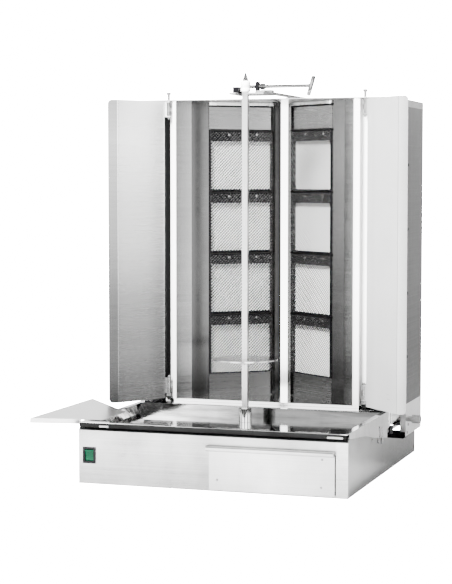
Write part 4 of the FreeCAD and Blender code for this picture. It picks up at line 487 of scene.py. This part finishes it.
def woven(side, low, high):
    # One wire is the line across + slope * up = (number + 1/2) * step, clipped to the field, where step is
    # the pitch times root 2. Its middle swings by its radius times the cosine of its way up, one turn for
    # each step.
    step = weave["pitch"] * math.sqrt(2)
    left, right = burnerRows["inset"], burnerRows["width"] - burnerRows["inset"]
    wide, tall = right - left, high - low
    angle = np.linspace(0, 2 * math.pi, weave["sides"], endpoint=False)
    aside = weave["slant"] * np.cos(angle)
    parts = []
    for slope, wire in weave["wires"].items():
        first = 0 if slope == 1 else -int(tall / step)
        last = int((wide + tall) / step) if slope == 1 else int(wide / step)
        for number in range(first, last + 1):
            place = (number + 0.5) * step
            ends = sorted([place * slope, (place - wide) * slope])
            start, stop = max(0.0, ends[0]), min(tall, ends[1])
            if stop - start < step / 2:
                continue
            count = int(math.ceil((stop - start) / step * 2 * weave["steps"])) + 1
            up = np.linspace(start, stop, count)[:, None]
            dip = slope * wire * np.cos(2 * math.pi * up / step + math.pi * number)
            points = inColumn(side, left + (place - slope * up) + slope * wire * aside,
                              weave["behind"] + dip + wire * np.sin(angle), low + up + wire * aside)
            parts.append(sheetOf(points, aroundClosed=True, caps=True))
    return joined(parts)


# Rails: a folded rail across the column clamps the top edge of each mesh; its near-black colour is painted
# shade along the top of each row.
# Points of the section are pairs of behind and of height over the rail's lower or upper edge.

rail = dict(lower=[(-0.0032, 0.0), (-0.0056, 0.0004), (-0.0064, 0.0012)],
            upper=[(-0.0064, -0.0010), (-0.0058, -0.0002), (-0.0032, 0.0)], over=0.0004, sag=0.00012,
            waves=90, steps=25)


def railOf(side, low, high):
    # The section carried along the column, set back by sag times the sine of waves times the place.
    section = [(behind, low + rise) for behind, rise in rail["lower"]]
    section += [(behind, high + rise) for behind, rise in rail["upper"]]
    behind, z = np.transpose(section)
    run = np.linspace(burnerRows["inset"], burnerRows["width"] - burnerRows["inset"], rail["steps"])[:, None]
    points = inColumn(side, run, behind - rail["sag"] * np.sin(run * rail["waves"]), z)
    return sheetOf(points, aroundClosed=True, caps=True)


# Painted shade in the gap between a burner column and the post: a shallow near-black upright strip with
# softened edges.

gapShades = dict(left=(0.1512, 0.1546), right=(0.0004, 0.0050), low=0.137, high=0.796, back=-0.0002,
              shoulder=-0.0028, face=-0.0034, edge=0.0006, steps=9)


def gapShadeOf(side):
    # The section carried upright.
    left, right = gapShades[side]
    back, shoulder, face, edge = gapShades["back"], gapShades["shoulder"], gapShades["face"], gapShades["edge"]
    across, behind = np.transpose([(left, back), (left, shoulder), (left + edge, face), (right - edge, face),
                                   (right, shoulder), (right, back)])
    z = np.linspace(gapShades["low"], gapShades["high"], gapShades["steps"])[:, None]
    return sheetOf(inColumn(side, across, behind, z), aroundClosed=True, caps=True)


# Header over each column: a near-black strip that stands in for the shade in the gap, and above it a bright
# lip.

header = dict(gapLow=0.7962, gapHigh=0.8000, lipHigh=0.8072, behind=-0.0005, gapFront=-0.0035,
              lipFront=-0.0060, edge=0.0005, steps=9)


def stripOf(side, low, high, front):
    # A thin folded strip across the column, its section with softened front corners carried along it.
    back, edge = header["behind"], header["edge"]
    behind, z = np.transpose([(back, low), (front + edge, low), (front, low + edge), (front, high - edge),
                              (front + edge, high), (back, high)])
    run = np.linspace(0, burnerRows["width"], header["steps"])[:, None]
    return sheetOf(inColumn(side, run, behind, z), aroundClosed=True, caps=True)


# Screws on the band under each burner's top edge.
bandScrew = dict(behind=-0.0052, drop=0.0115, radius=0.0032, head=0.0020, slot=0.0005)

for side in columns:
    piece(side + "ColumnGapShade", gapShadeOf(side), "tower", "paintedShadeSteel")
for side in columns:
    # The near-black strip in the gap is painted shade.
    gapShade = stripOf(side, header["gapLow"], header["gapHigh"], header["gapFront"])
    lip = stripOf(side, header["gapHigh"], header["lipHigh"], header["lipFront"])
    piece(side + "HeaderGapShade", gapShade, "tower", "paintedShadeSteel")
    piece(side + "HeaderLip", lip, "tower", "roofSteel")
for side in columns:
    rails, heads = [], []
    outward = inColumn(side, 0.0, -1.0, 0.0) - inColumn(side, 0.0, 0.0, 0.0)
    for row in range(burnerRows["count"]):
        low = burnerRows["first"] + row * burnerRows["pitch"] + burnerRows["joint"] / 2
        high = low + burnerRows["pitch"] - burnerRows["joint"]
        wires = woven(side, low + weave["edge"], high - weave["rail"])
        piece("%sMesh%d" % (side, row + 1), wires, "tower", "meshSteel")
        rails.append(railOf(side, high - weave["rail"], high + rail["over"]))
        for across in columns[side]["screws"]:
            spot = inColumn(side, across, bandScrew["behind"], high - bandScrew["drop"])
            heads.append(domedHead(spot, outward, bandScrew["radius"], bandScrew["head"], bandScrew["slot"]))
    # The rails' near-black is painted shade.
    piece(side + "Rails", joined(rails), "tower", "paintedShadeSteel")
    piece(side + "BandScrews", joined(heads), "tower", "turnedSteel")
print("burner meshes ready")


# Tray seal: a soft black strip round the tray rim's front edge, held by a steel clip at each end.
# Sections are pairs of y and z.

seal = dict(left=-0.2868, right=0.2868, steps=90, waves=[(0.00018, 41, 0), (0.00010, 97, 1)], section=[
    (-0.3118, 0.1182), (-0.3150, 0.1180), (-0.3161, 0.1190), (-0.3164, 0.1225), (-0.3163, 0.1262),
    (-0.3156, 0.1272), (-0.3140, 0.1276), (-0.3128, 0.1274), (-0.3150, 0.1264), (-0.3152, 0.1230),
    (-0.3146, 0.1196), (-0.3118, 0.1192)])
clip = dict(ends=((-0.2425, -0.2215), (0.2463, 0.2790)), edge=0.0006, steps=14, shrink=0.6, section=[
    (-0.3169, 0.1192), (-0.3174, 0.1202), (-0.3175, 0.1228), (-0.3170, 0.1240), (-0.3165, 0.1238),
    (-0.3169, 0.1226), (-0.3168, 0.1204), (-0.3165, 0.1196)])


def sealStrip():
    # The section carried along x, moved by a slow wave: a sum of sines, in full along y and by half along z.
    y, z = np.transpose(seal["section"])
    run = np.linspace(seal["left"], seal["right"], seal["steps"])[:, None]
    wave = sum(size * np.sin(run * rate + shift) for size, rate, shift in seal["waves"])
    return sheetOf(grid(run, y + wave, z + wave / 2), aroundClosed=True, caps=True)


def clipPlate(left, right):
    # The section carried along x, and drawn in towards its middle at both ends.
    y, z = np.transpose(clip["section"])
    inner = np.linspace(left + clip["edge"], right - clip["edge"], clip["steps"])
    run = np.concatenate([[left], inner, [right]])[:, None]
    size = np.ones_like(run)
    size[[0, -1]] = clip["shrink"]
    points = grid(run, y.mean() + (y - y.mean()) * size, z.mean() + (z - z.mean()) * size)
    return sheetOf(points, aroundClosed=True, caps=True)


piece("traySeal", sealStrip(), "base", "rubber")
piece("traySealClips", joined([clipPlate(*ends) for ends in clip["ends"]]), "base", "barSteel")


# Rear skirt: a sheet under the tower's back edge that closes the view through the slide's openings. Its black
# is painted shade, so that the openings read dark.

rearSkirt = dict(left=-0.2880, right=0.2880, low=0.0520, high=0.1236, behind=0.3700, hem=0.0080, sheet=0.0010,
                 bend=0.0012, innerBend=0.0018, steps=25)


def rearSheet():
    # A thin section with its hem folded in at the bottom, carried along x.
    low, high, back, hem = rearSkirt["low"], rearSkirt["high"], rearSkirt["behind"], rearSkirt["hem"]
    sheet, bend, inner = rearSkirt["sheet"], rearSkirt["bend"], rearSkirt["innerBend"]
    y, z = np.transpose([(back - hem, low), (back - bend, low), (back, low + bend), (back, high),
                         (back - sheet, high), (back - sheet, low + inner), (back - inner, low + sheet),
                         (back - hem, low + sheet)])
    run = np.linspace(rearSkirt["left"], rearSkirt["right"], rearSkirt["steps"])[:, None]
    return sheetOf(grid(run, y, z), aroundClosed=True, caps=True)


piece("rearSkirt", rearSheet(), "tower", "blackPaint")


# Screws and rivets: the way that each head faces, its size, and where it sits.

fixings = dict(
    drawerRivets=dict(body="drawer", way=(0, -1, 0), radius=0.0024, head=0.0008, slot=0.0, spots=[
        (0.2364, -0.3165, 0.0766), (0.0162, -0.3165, 0.0239), (0.2346, -0.3165, 0.0204)]),
    baseScrews=dict(body="base", way=(1, 0, 0), radius=0.0035, head=0.0018, slot=0.0005, spots=[
        (0.289, -0.112, 0.088), (0.289, 0.300, 0.0136)]),
    skirtScrews=dict(body="tower", way=(1, 0, 0), radius=0.0032, head=0.0016, slot=0.0005, spots=[
        (0.291, 0.362, 0.1155), (0.291, 0.2295, 0.0748), (0.291, 0.2195, 0.0578)]),
    leftBaseScrews=dict(body="base", way=(-1, 0, 0), radius=0.0035, head=0.0018, slot=0.0005, spots=[
        (-0.289, -0.112, 0.088), (-0.289, 0.300, 0.0136)]),
    leftSkirtScrews=dict(body="tower", way=(-1, 0, 0), radius=0.0032, head=0.0016, slot=0.0005, spots=[
        (-0.291, 0.362, 0.1155), (-0.291, 0.2295, 0.0748)]),
    roofScrews=dict(body="tower", way=(0, 0, 1), radius=0.0035, head=0.0018, slot=0.0005, spots=[
        (0.0395, 0.15, 0.820), (0.0395, 0.27, 0.820), (-0.25, 0.34, 0.811), (0.25, 0.34, 0.811),
        (0, 0.34, 0.811)]),
    backScrews=dict(body="tower", way=(0, 1, 0), radius=0.0035, head=0.0018, slot=0.0005, spots=[
        (x, 0.372, z) for x in (-0.262, 0, 0.262) for z in (0.14, 0.46, 0.78)]),
)
for name, group in fixings.items():
    form = (group["way"], group["radius"], group["head"], group["slot"])
    heads = joined([domedHead(spot, *form) for spot in group["spots"]])
    piece(name, heads, group["body"], "turnedSteel")


# Switch rocker: a green cap with a dished middle and raised ends.

rocker = dict(middle=(-0.265, -0.311, 0.060), half=(0.0097, 0.0117), tilt=9, rows=24, columns=14,
              height=0.0037, dish=0.0022, rounding=0.0012, sharpness=(10, 14), foot=(0.94, 0.86),
              depth=0.0028, bulge=0.0002)


def rockerCap():
    # Over u across and v up, both from -1 to 1: height + dish * v squared - rounding * the larger of |u| and
    # |v| raised to their sharpness. A skirt runs from its border to a smaller foot, and the whole is tilted
    # about x.
    u = np.linspace(-1, 1, rocker["columns"])
    v = np.linspace(-1, 1, rocker["rows"])[:, None]
    edge = np.maximum(np.abs(u) ** rocker["sharpness"][0], np.abs(v) ** rocker["sharpness"][1])
    high = rocker["height"] + rocker["dish"] * v ** 2 - rocker["rounding"] * edge
    top = grid(rocker["half"][0] * u, -high, rocker["half"][1] * v)
    border = np.concatenate([top[0, :], top[1:, -1], top[-1, -2::-1], top[-2:0:-1, 0]])
    foot = border * (rocker["foot"][0], 0, rocker["foot"][1]) + (0, rocker["depth"], 0)
    middle = (border + foot) / 2 + (0, rocker["bulge"], 0)
    skirt = sheetOf(np.stack([border, middle, foot]), aroundClosed=True)
    bottom = (foot, [np.arange(len(foot))[None, :]])
    points, faces = joined([sheetOf(top), skirt, bottom])
    cos, sin = math.cos(math.radians(rocker["tilt"])), math.sin(math.radians(rocker["tilt"]))
    x, y, z = points.T
    return grid(x, y * cos - z * sin, y * sin + z * cos) + rocker["middle"], faces


piece("rockerCap", rockerCap(), "rocker", "greenPlastic", replaces=["switch_rocker"])


# Gas tap levers: a boss on the stem and a grip with a waist, rounded at both ends.

levers = dict(count=4, first=0.244, pitch=0.140, face=0.318, inner=0.3085, y=0.070, tail=0.009, reach=0.030,
              half=0.0040, full=0.98, waist=0.35, straight=0.42, rounding=0.08, least=0.02, corner=1.22,
              rows=22, sides=16, bossSides=24,
              boss=[(0.2935, 0.0038), (0.3035, 0.0038), (0.3036, 0.0060), (0.3075, 0.0064), (0.3090, 0.0058)])


def tapLever(z):
    # A square ring with cut corners carried along y. Its height is half * (full - waist * sine squared of
    # half a turn along the grip), and both ends draw in as a circle does.
    run = np.linspace(-levers["tail"], levers["reach"], levers["rows"])[:, None]
    share = (run + levers["tail"]) / (levers["reach"] + levers["tail"])
    high = levers["half"] * (levers["full"] - levers["waist"] * np.sin(math.pi * share) ** 2)
    past = np.clip((np.abs(share - 0.5) - levers["straight"]) / levers["rounding"], 0, 1)
    drawn = np.sqrt(np.clip(1 - past ** 2, levers["least"], 1))
    angle = np.linspace(0, 2 * math.pi, levers["sides"], endpoint=False)
    square = 1 / np.maximum(np.abs(np.cos(angle)), np.abs(np.sin(angle)))
    soft = np.minimum(square, levers["corner"])
    middle = (levers["face"] + levers["inner"]) / 2
    half = (levers["face"] - levers["inner"]) / 2
    points = grid(middle + half * drawn * np.clip(np.cos(angle) * soft, -1, 1), levers["y"] + run,
                  z + high * drawn * np.clip(np.sin(angle) * soft, -1, 1))
    boss = turned(levers["boss"], (0, levers["y"], z), (1, 0, 0), sides=levers["bossSides"])
    return joined([sheetOf(points, aroundClosed=True, caps=True), boss])


for number in range(levers["count"]):
    piece("tapGrip%d" % (number + 1), tapLever(levers["first"] + levers["pitch"] * number),
          "tap_%d" % (number + 1), "blackPlastic", replaces=["tap_lever_%d" % (number + 1)])


# Clamp screw: a cut thread, a plain rod, and a cross grip with dished ends.

clamp = dict(
    y=-0.079, z=0.8295, sides=28,
    thread=dict(start=0.0108, end=0.058, radius=0.004, pitch=0.00125, depth=0.0007, stepsPerTurn=6),
    rod=[(0.0572, 0.0030), (0.0586, 0.0035), (0.139, 0.0035), (0.1405, 0.0046), (0.1445, 0.0046)],
    grip=dict(x=0.145, tilt=45, half=0.027, radius=0.0045, dish=0.0035, pin=0.0004, bendSteps=7,
              middle=[(-0.0081, 0.0045), (-0.0052, 0.00441), (0.0, 0.00441), (0.0081, 0.0045)]))


def threadOf(start, end, radius, pitch, depth, stepsPerTurn):
    # A helical thread: the radius rises from the root to each crest along the helix, and the crests fade in
    # over one pitch at each end.
    count = int(round((end - start) / pitch * stepsPerTurn))
    run = np.linspace(start, end, count + 1)[:, None]
    angle = np.linspace(0, 2 * math.pi, clamp["sides"], endpoint=False)
    phase = run / pitch - angle / (2 * math.pi)
    groove = np.abs((phase % 1.0) - 0.5) * 2
    fade = np.clip(np.minimum(run - start, end - run) / pitch, 0, 1)
    size = radius - depth * (1 - groove * fade)
    points = grid(run, clamp["y"] + size * np.cos(angle), clamp["z"] + size * np.sin(angle))
    return sheetOf(points, aroundClosed=True, caps=True)


def clampScrew():
    # The rod is turned about x, and the grip about a line across it. Each grip end is a quarter turn of b:
    # dish * (1 - sin b) in from the end, at radius * sin b.
    grip = clamp["grip"]
    bend = np.sin(np.linspace(0, math.pi / 2, grip["bendSteps"]))
    inward = grip["dish"] * (1 - bend) - grip["half"]
    end = np.column_stack([inward, np.maximum(grip["radius"] * bend, grip["pin"])])
    profile = np.concatenate([end, grip["middle"], end[::-1] * (-1, 1)])
    turn = math.radians(grip["tilt"])
    rod = turned(clamp["rod"], (0, clamp["y"], clamp["z"]), (1, 0, 0), sides=clamp["sides"])
    across = turned(profile, (grip["x"], clamp["y"], clamp["z"]), (0, math.sin(turn), math.cos(turn)),
                    sides=clamp["sides"])
    return joined([threadOf(**clamp["thread"]), rod, across])


# Lock nut: a hexagon with turned-off corners and a washer face toward the upright.

nut = dict(
    sides=72,
    body=[(0.0348, 0.0065), (0.0354, 0.0065), (0.0388, 0.0065), (0.0418, 0.0065), (0.0425, 0.0065),
          (0.0430, 0.006305), (0.0430, 0.0044)],
    corners=[(0.0348, 1.155), (0.0418, 1.155), (0.0430, 1.02)],
    facing=[(0.0340, 0.0050), (0.0341, 0.0064), (0.0347, 0.0065), (0.0350, 0.0062)])


def nutReach(angle, height):
    # 1 over the cosine of the angle from the middle of the flat, but no more than the corners' reach there.
    folded = (angle % (math.pi / 3)) - math.pi / 6
    return np.minimum(1 / np.cos(folded), np.interp(height, *np.transpose(nut["corners"])))


def lockNut():
    # Two turned bodies about the screw's axis, the first with its radius drawn out to the six corners.
    start = (0, clamp["y"], clamp["z"])
    body = turned(nut["body"], start, (1, 0, 0), sides=nut["sides"], reach=nutReach)
    return joined([body, turned(nut["facing"], start, (1, 0, 0))])


piece("clampScrew", clampScrew(), "clamp", "clampSteel", replaces=["clamp_screw"])
piece("lockNut", lockNut(), "clamp", "turnedSteel", replaces=["lock_nut"])


# Spit sleeve: a white bush with a chamfer at each end and a shallow groove.

sleeve = dict(start=(0, -0.079, 0), sides=48, profile=[
    (0.819, 0.0082), (0.819, 0.0098), (0.8197, 0.0105), (0.8262, 0.0105), (0.8268, 0.0099), (0.8282, 0.0099),
    (0.8288, 0.0105), (0.8405, 0.0105), (0.8415, 0.0098), (0.842, 0.0086)])

piece("spitSleeve", turned(sleeve["profile"], sleeve["start"], (0, 0, 1), sides=sleeve["sides"]), "spit",
      "whitePlastic", replaces=["spit_sleeve"])


# Hinge pins: a round head above the roof, and a washer below and above each eye.

hinge = dict(x=0.2276, y=0.0632, sides=28, below=-0.0012, above=0.0002,
             eyes=((0.147, 0.182), (0.773, 0.808)),
             head=[(0.8235, 0.0032), (0.8236, 0.0046), (0.8243, 0.0050), (0.8268, 0.0050), (0.8278, 0.0044),
                   (0.8280, 0.0030)],
             washer=[(0.0, 0.0033), (0.0001, 0.0050), (0.0009, 0.0050), (0.0010, 0.0033)])


def hingeParts(side):
    # Turned bodies about the pin's upright axis: the head, and a washer at both ends of each eye.
    start = (side * hinge["x"], hinge["y"], 0)
    profiles = [hinge["head"]]
    for low, high in hinge["eyes"]:
        for z in (low + hinge["below"], high + hinge["above"]):
            profiles.append([(z + rise, radius) for rise, radius in hinge["washer"]])
    return joined([turned(profile, start, (0, 0, 1), sides=hinge["sides"]) for profile in profiles])


piece("leftHingeWashers", hingeParts(-1), "tower", "turnedSteel")
piece("rightHingeWashers", hingeParts(1), "tower", "turnedSteel")


# Cable gland on the back: a ribbed dome nut.

gland = dict(start=(-0.2, 0, 0.024), sides=72, ribs=12, ribDepth=0.05, ribsFrom=0.3175, ribsTo=0.3275,
             profile=[(0.3052, 0.0036), (0.3054, 0.0060), (0.3148, 0.0062), (0.3150, 0.0088),
                      (0.3170, 0.0090), (0.3180, 0.0089), (0.3270, 0.0088), (0.3285, 0.0080),
                      (0.3300, 0.0064), (0.3308, 0.0046), (0.3306, 0.0038), (0.3200, 0.0036)])


def glandRibs(angle, height):
    # The radius falls by the rib's depth times (1 + cos of ribs times the angle) / 2, between two heights.
    ribbed = (height > gland["ribsFrom"]) & (height < gland["ribsTo"])
    return 1 - gland["ribDepth"] * (0.5 + 0.5 * np.cos(gland["ribs"] * angle)) * ribbed


piece("glandNut", turned(gland["profile"], gland["start"], (0, 1, 0), sides=gland["sides"], reach=glandRibs),
      "base", "blackPlastic", replaces=["cable_gland"])
print("details ready")


# Studio: a pale floor, soft lamps, and a room with a few large bright and dark areas.

floorDisc = dict(radius=1.7, sides=96, colour=(0.55, 0.55, 0.55), rough=0.9, glow=40.0)

around = np.linspace(0, 2 * math.pi, floorDisc["sides"], endpoint=False)
rim = grid(np.cos(around), np.sin(around), 0.0) * floorDisc["radius"]
floorMesh = bpy.data.meshes.new("floor")
floorMesh.from_pydata(rim.tolist(), [], [list(range(floorDisc["sides"]))])
floor = bpy.data.objects.new("floor", floorMesh)
bpy.context.scene.collection.objects.link(floor)
floorMaterial, floorTree = newMaterial("floorPaint")
onCamera = add(floorTree, "ShaderNodeLightPath").outputs["Is Camera Ray"]
glow = arithmetic(floorTree, "MULTIPLY", onCamera, floorDisc["glow"])
finishMaterial(floorMaterial, floorTree, Base_Color=floorDisc["colour"], Roughness=floorDisc["rough"],
               Emission_Color=(1, 1, 1), Emission_Strength=glow)
floorMesh.materials.append(floorMaterial)

# Lamps: where each stands, what it points at, and whether the steel mirrors it.
lamps = dict(
    keyLamp=dict(place=(-1.0, -2.6, 3.0), aim=(0, 0, 0.4), size=2.2, power=420, mirrored=False),
    burnerLamp=dict(place=(-0.3, -1.8, 1.9), aim=(0, 0.1, 0.45), size=0.6, power=560, mirrored=False),
    fillLamp=dict(place=(3.2, -1.6, 1.6), aim=(0, 0, 0.4), size=2.2, power=60, mirrored=False),
    topLamp=dict(place=(0.2, 0.4, 3.4), aim=(0, 0, 0), size=2.6, power=120, mirrored=True),
)
for name, lamp in lamps.items():
    light = bpy.data.lights.new(name, "AREA")
    light.shape = "SQUARE"
    light.size = lamp["size"]
    light.energy = lamp["power"]
    item = bpy.data.objects.new(name, light)
    item.location = lamp["place"]
    item.visible_glossy = lamp["mirrored"]
    aim = [a - b for a, b in zip(lamp["aim"], lamp["place"])]
    level = math.hypot(aim[0], aim[1])
    item.rotation_euler = (math.atan2(level, -aim[2]), 0, math.atan2(-aim[0], aim[1]))
    bpy.context.scene.collection.objects.link(item)

# Bright areas of the room: the direction of each one's middle, how wide it reaches, and how strong it is.
room = dict(
    base=0.22,
    background=40.0,
    areas=dict(
        frontLeft=dict(way=(-0.33, -0.94, -0.04), near=0.975, far=0.90, strength=11.0),
        frontRight=dict(way=(0.515, -0.857, -0.04), near=0.98, far=0.93, strength=14.0),
        leftFront=dict(way=(-0.907, -0.423, -0.04), near=0.985, far=0.95, strength=6.0),
        right=dict(way=(0.99, 0.04, 0.02), near=0.96, far=0.80, strength=6.0),
        besideRight=dict(way=(0.86, -0.51, 0.0), near=0.97, far=0.90, strength=0.9),
        left=dict(way=(-0.995, 0.04, 0.0), near=0.96, far=0.85, strength=1.1),
        behindRight=dict(way=(0.21, 0.976, -0.03), near=0.98, far=0.90, strength=0.8),
        behindLeft=dict(way=(-0.36, 0.92, 0.16), near=0.98, far=0.90, strength=2.4),
        above=dict(way=(0.0, -0.2, 1.0), near=0.95, far=0.60, strength=1.2),
    ),
)

world = bpy.data.worlds.new("room")
bpy.context.scene.world = world
world.use_nodes = True
tree = world.node_tree
tree.nodes.clear()
way = add(tree, "ShaderNodeTexCoord").outputs["Generated"]
bright = room["base"]
for area in room["areas"].values():
    length = math.sqrt(sum(part * part for part in area["way"]))
    middle = tuple(part / length for part in area["way"])
    facing = add(tree, "ShaderNodeVectorMath", {"operation": "DOT_PRODUCT"}, i0=way, i1=middle)
    patch = add(tree, "ShaderNodeMapRange", {"interpolation_type": "SMOOTHSTEP"},
                Value=facing.outputs["Value"], From_Min=area["far"], From_Max=area["near"], To_Min=0.0,
                To_Max=area["strength"])
    bright = arithmetic(tree, "ADD", bright, patch.outputs[0])
seen = add(tree, "ShaderNodeLightPath").outputs["Is Camera Ray"]
strength = add(tree, "ShaderNodeMix", {"data_type": "FLOAT"}, Factor=seen, i2=bright, i3=room["background"])
back = add(tree, "ShaderNodeBackground", Color=(1, 1, 1, 1), Strength=strength.outputs[0])
add(tree, "ShaderNodeOutputWorld", Surface=back.outputs[0])
print("studio ready")
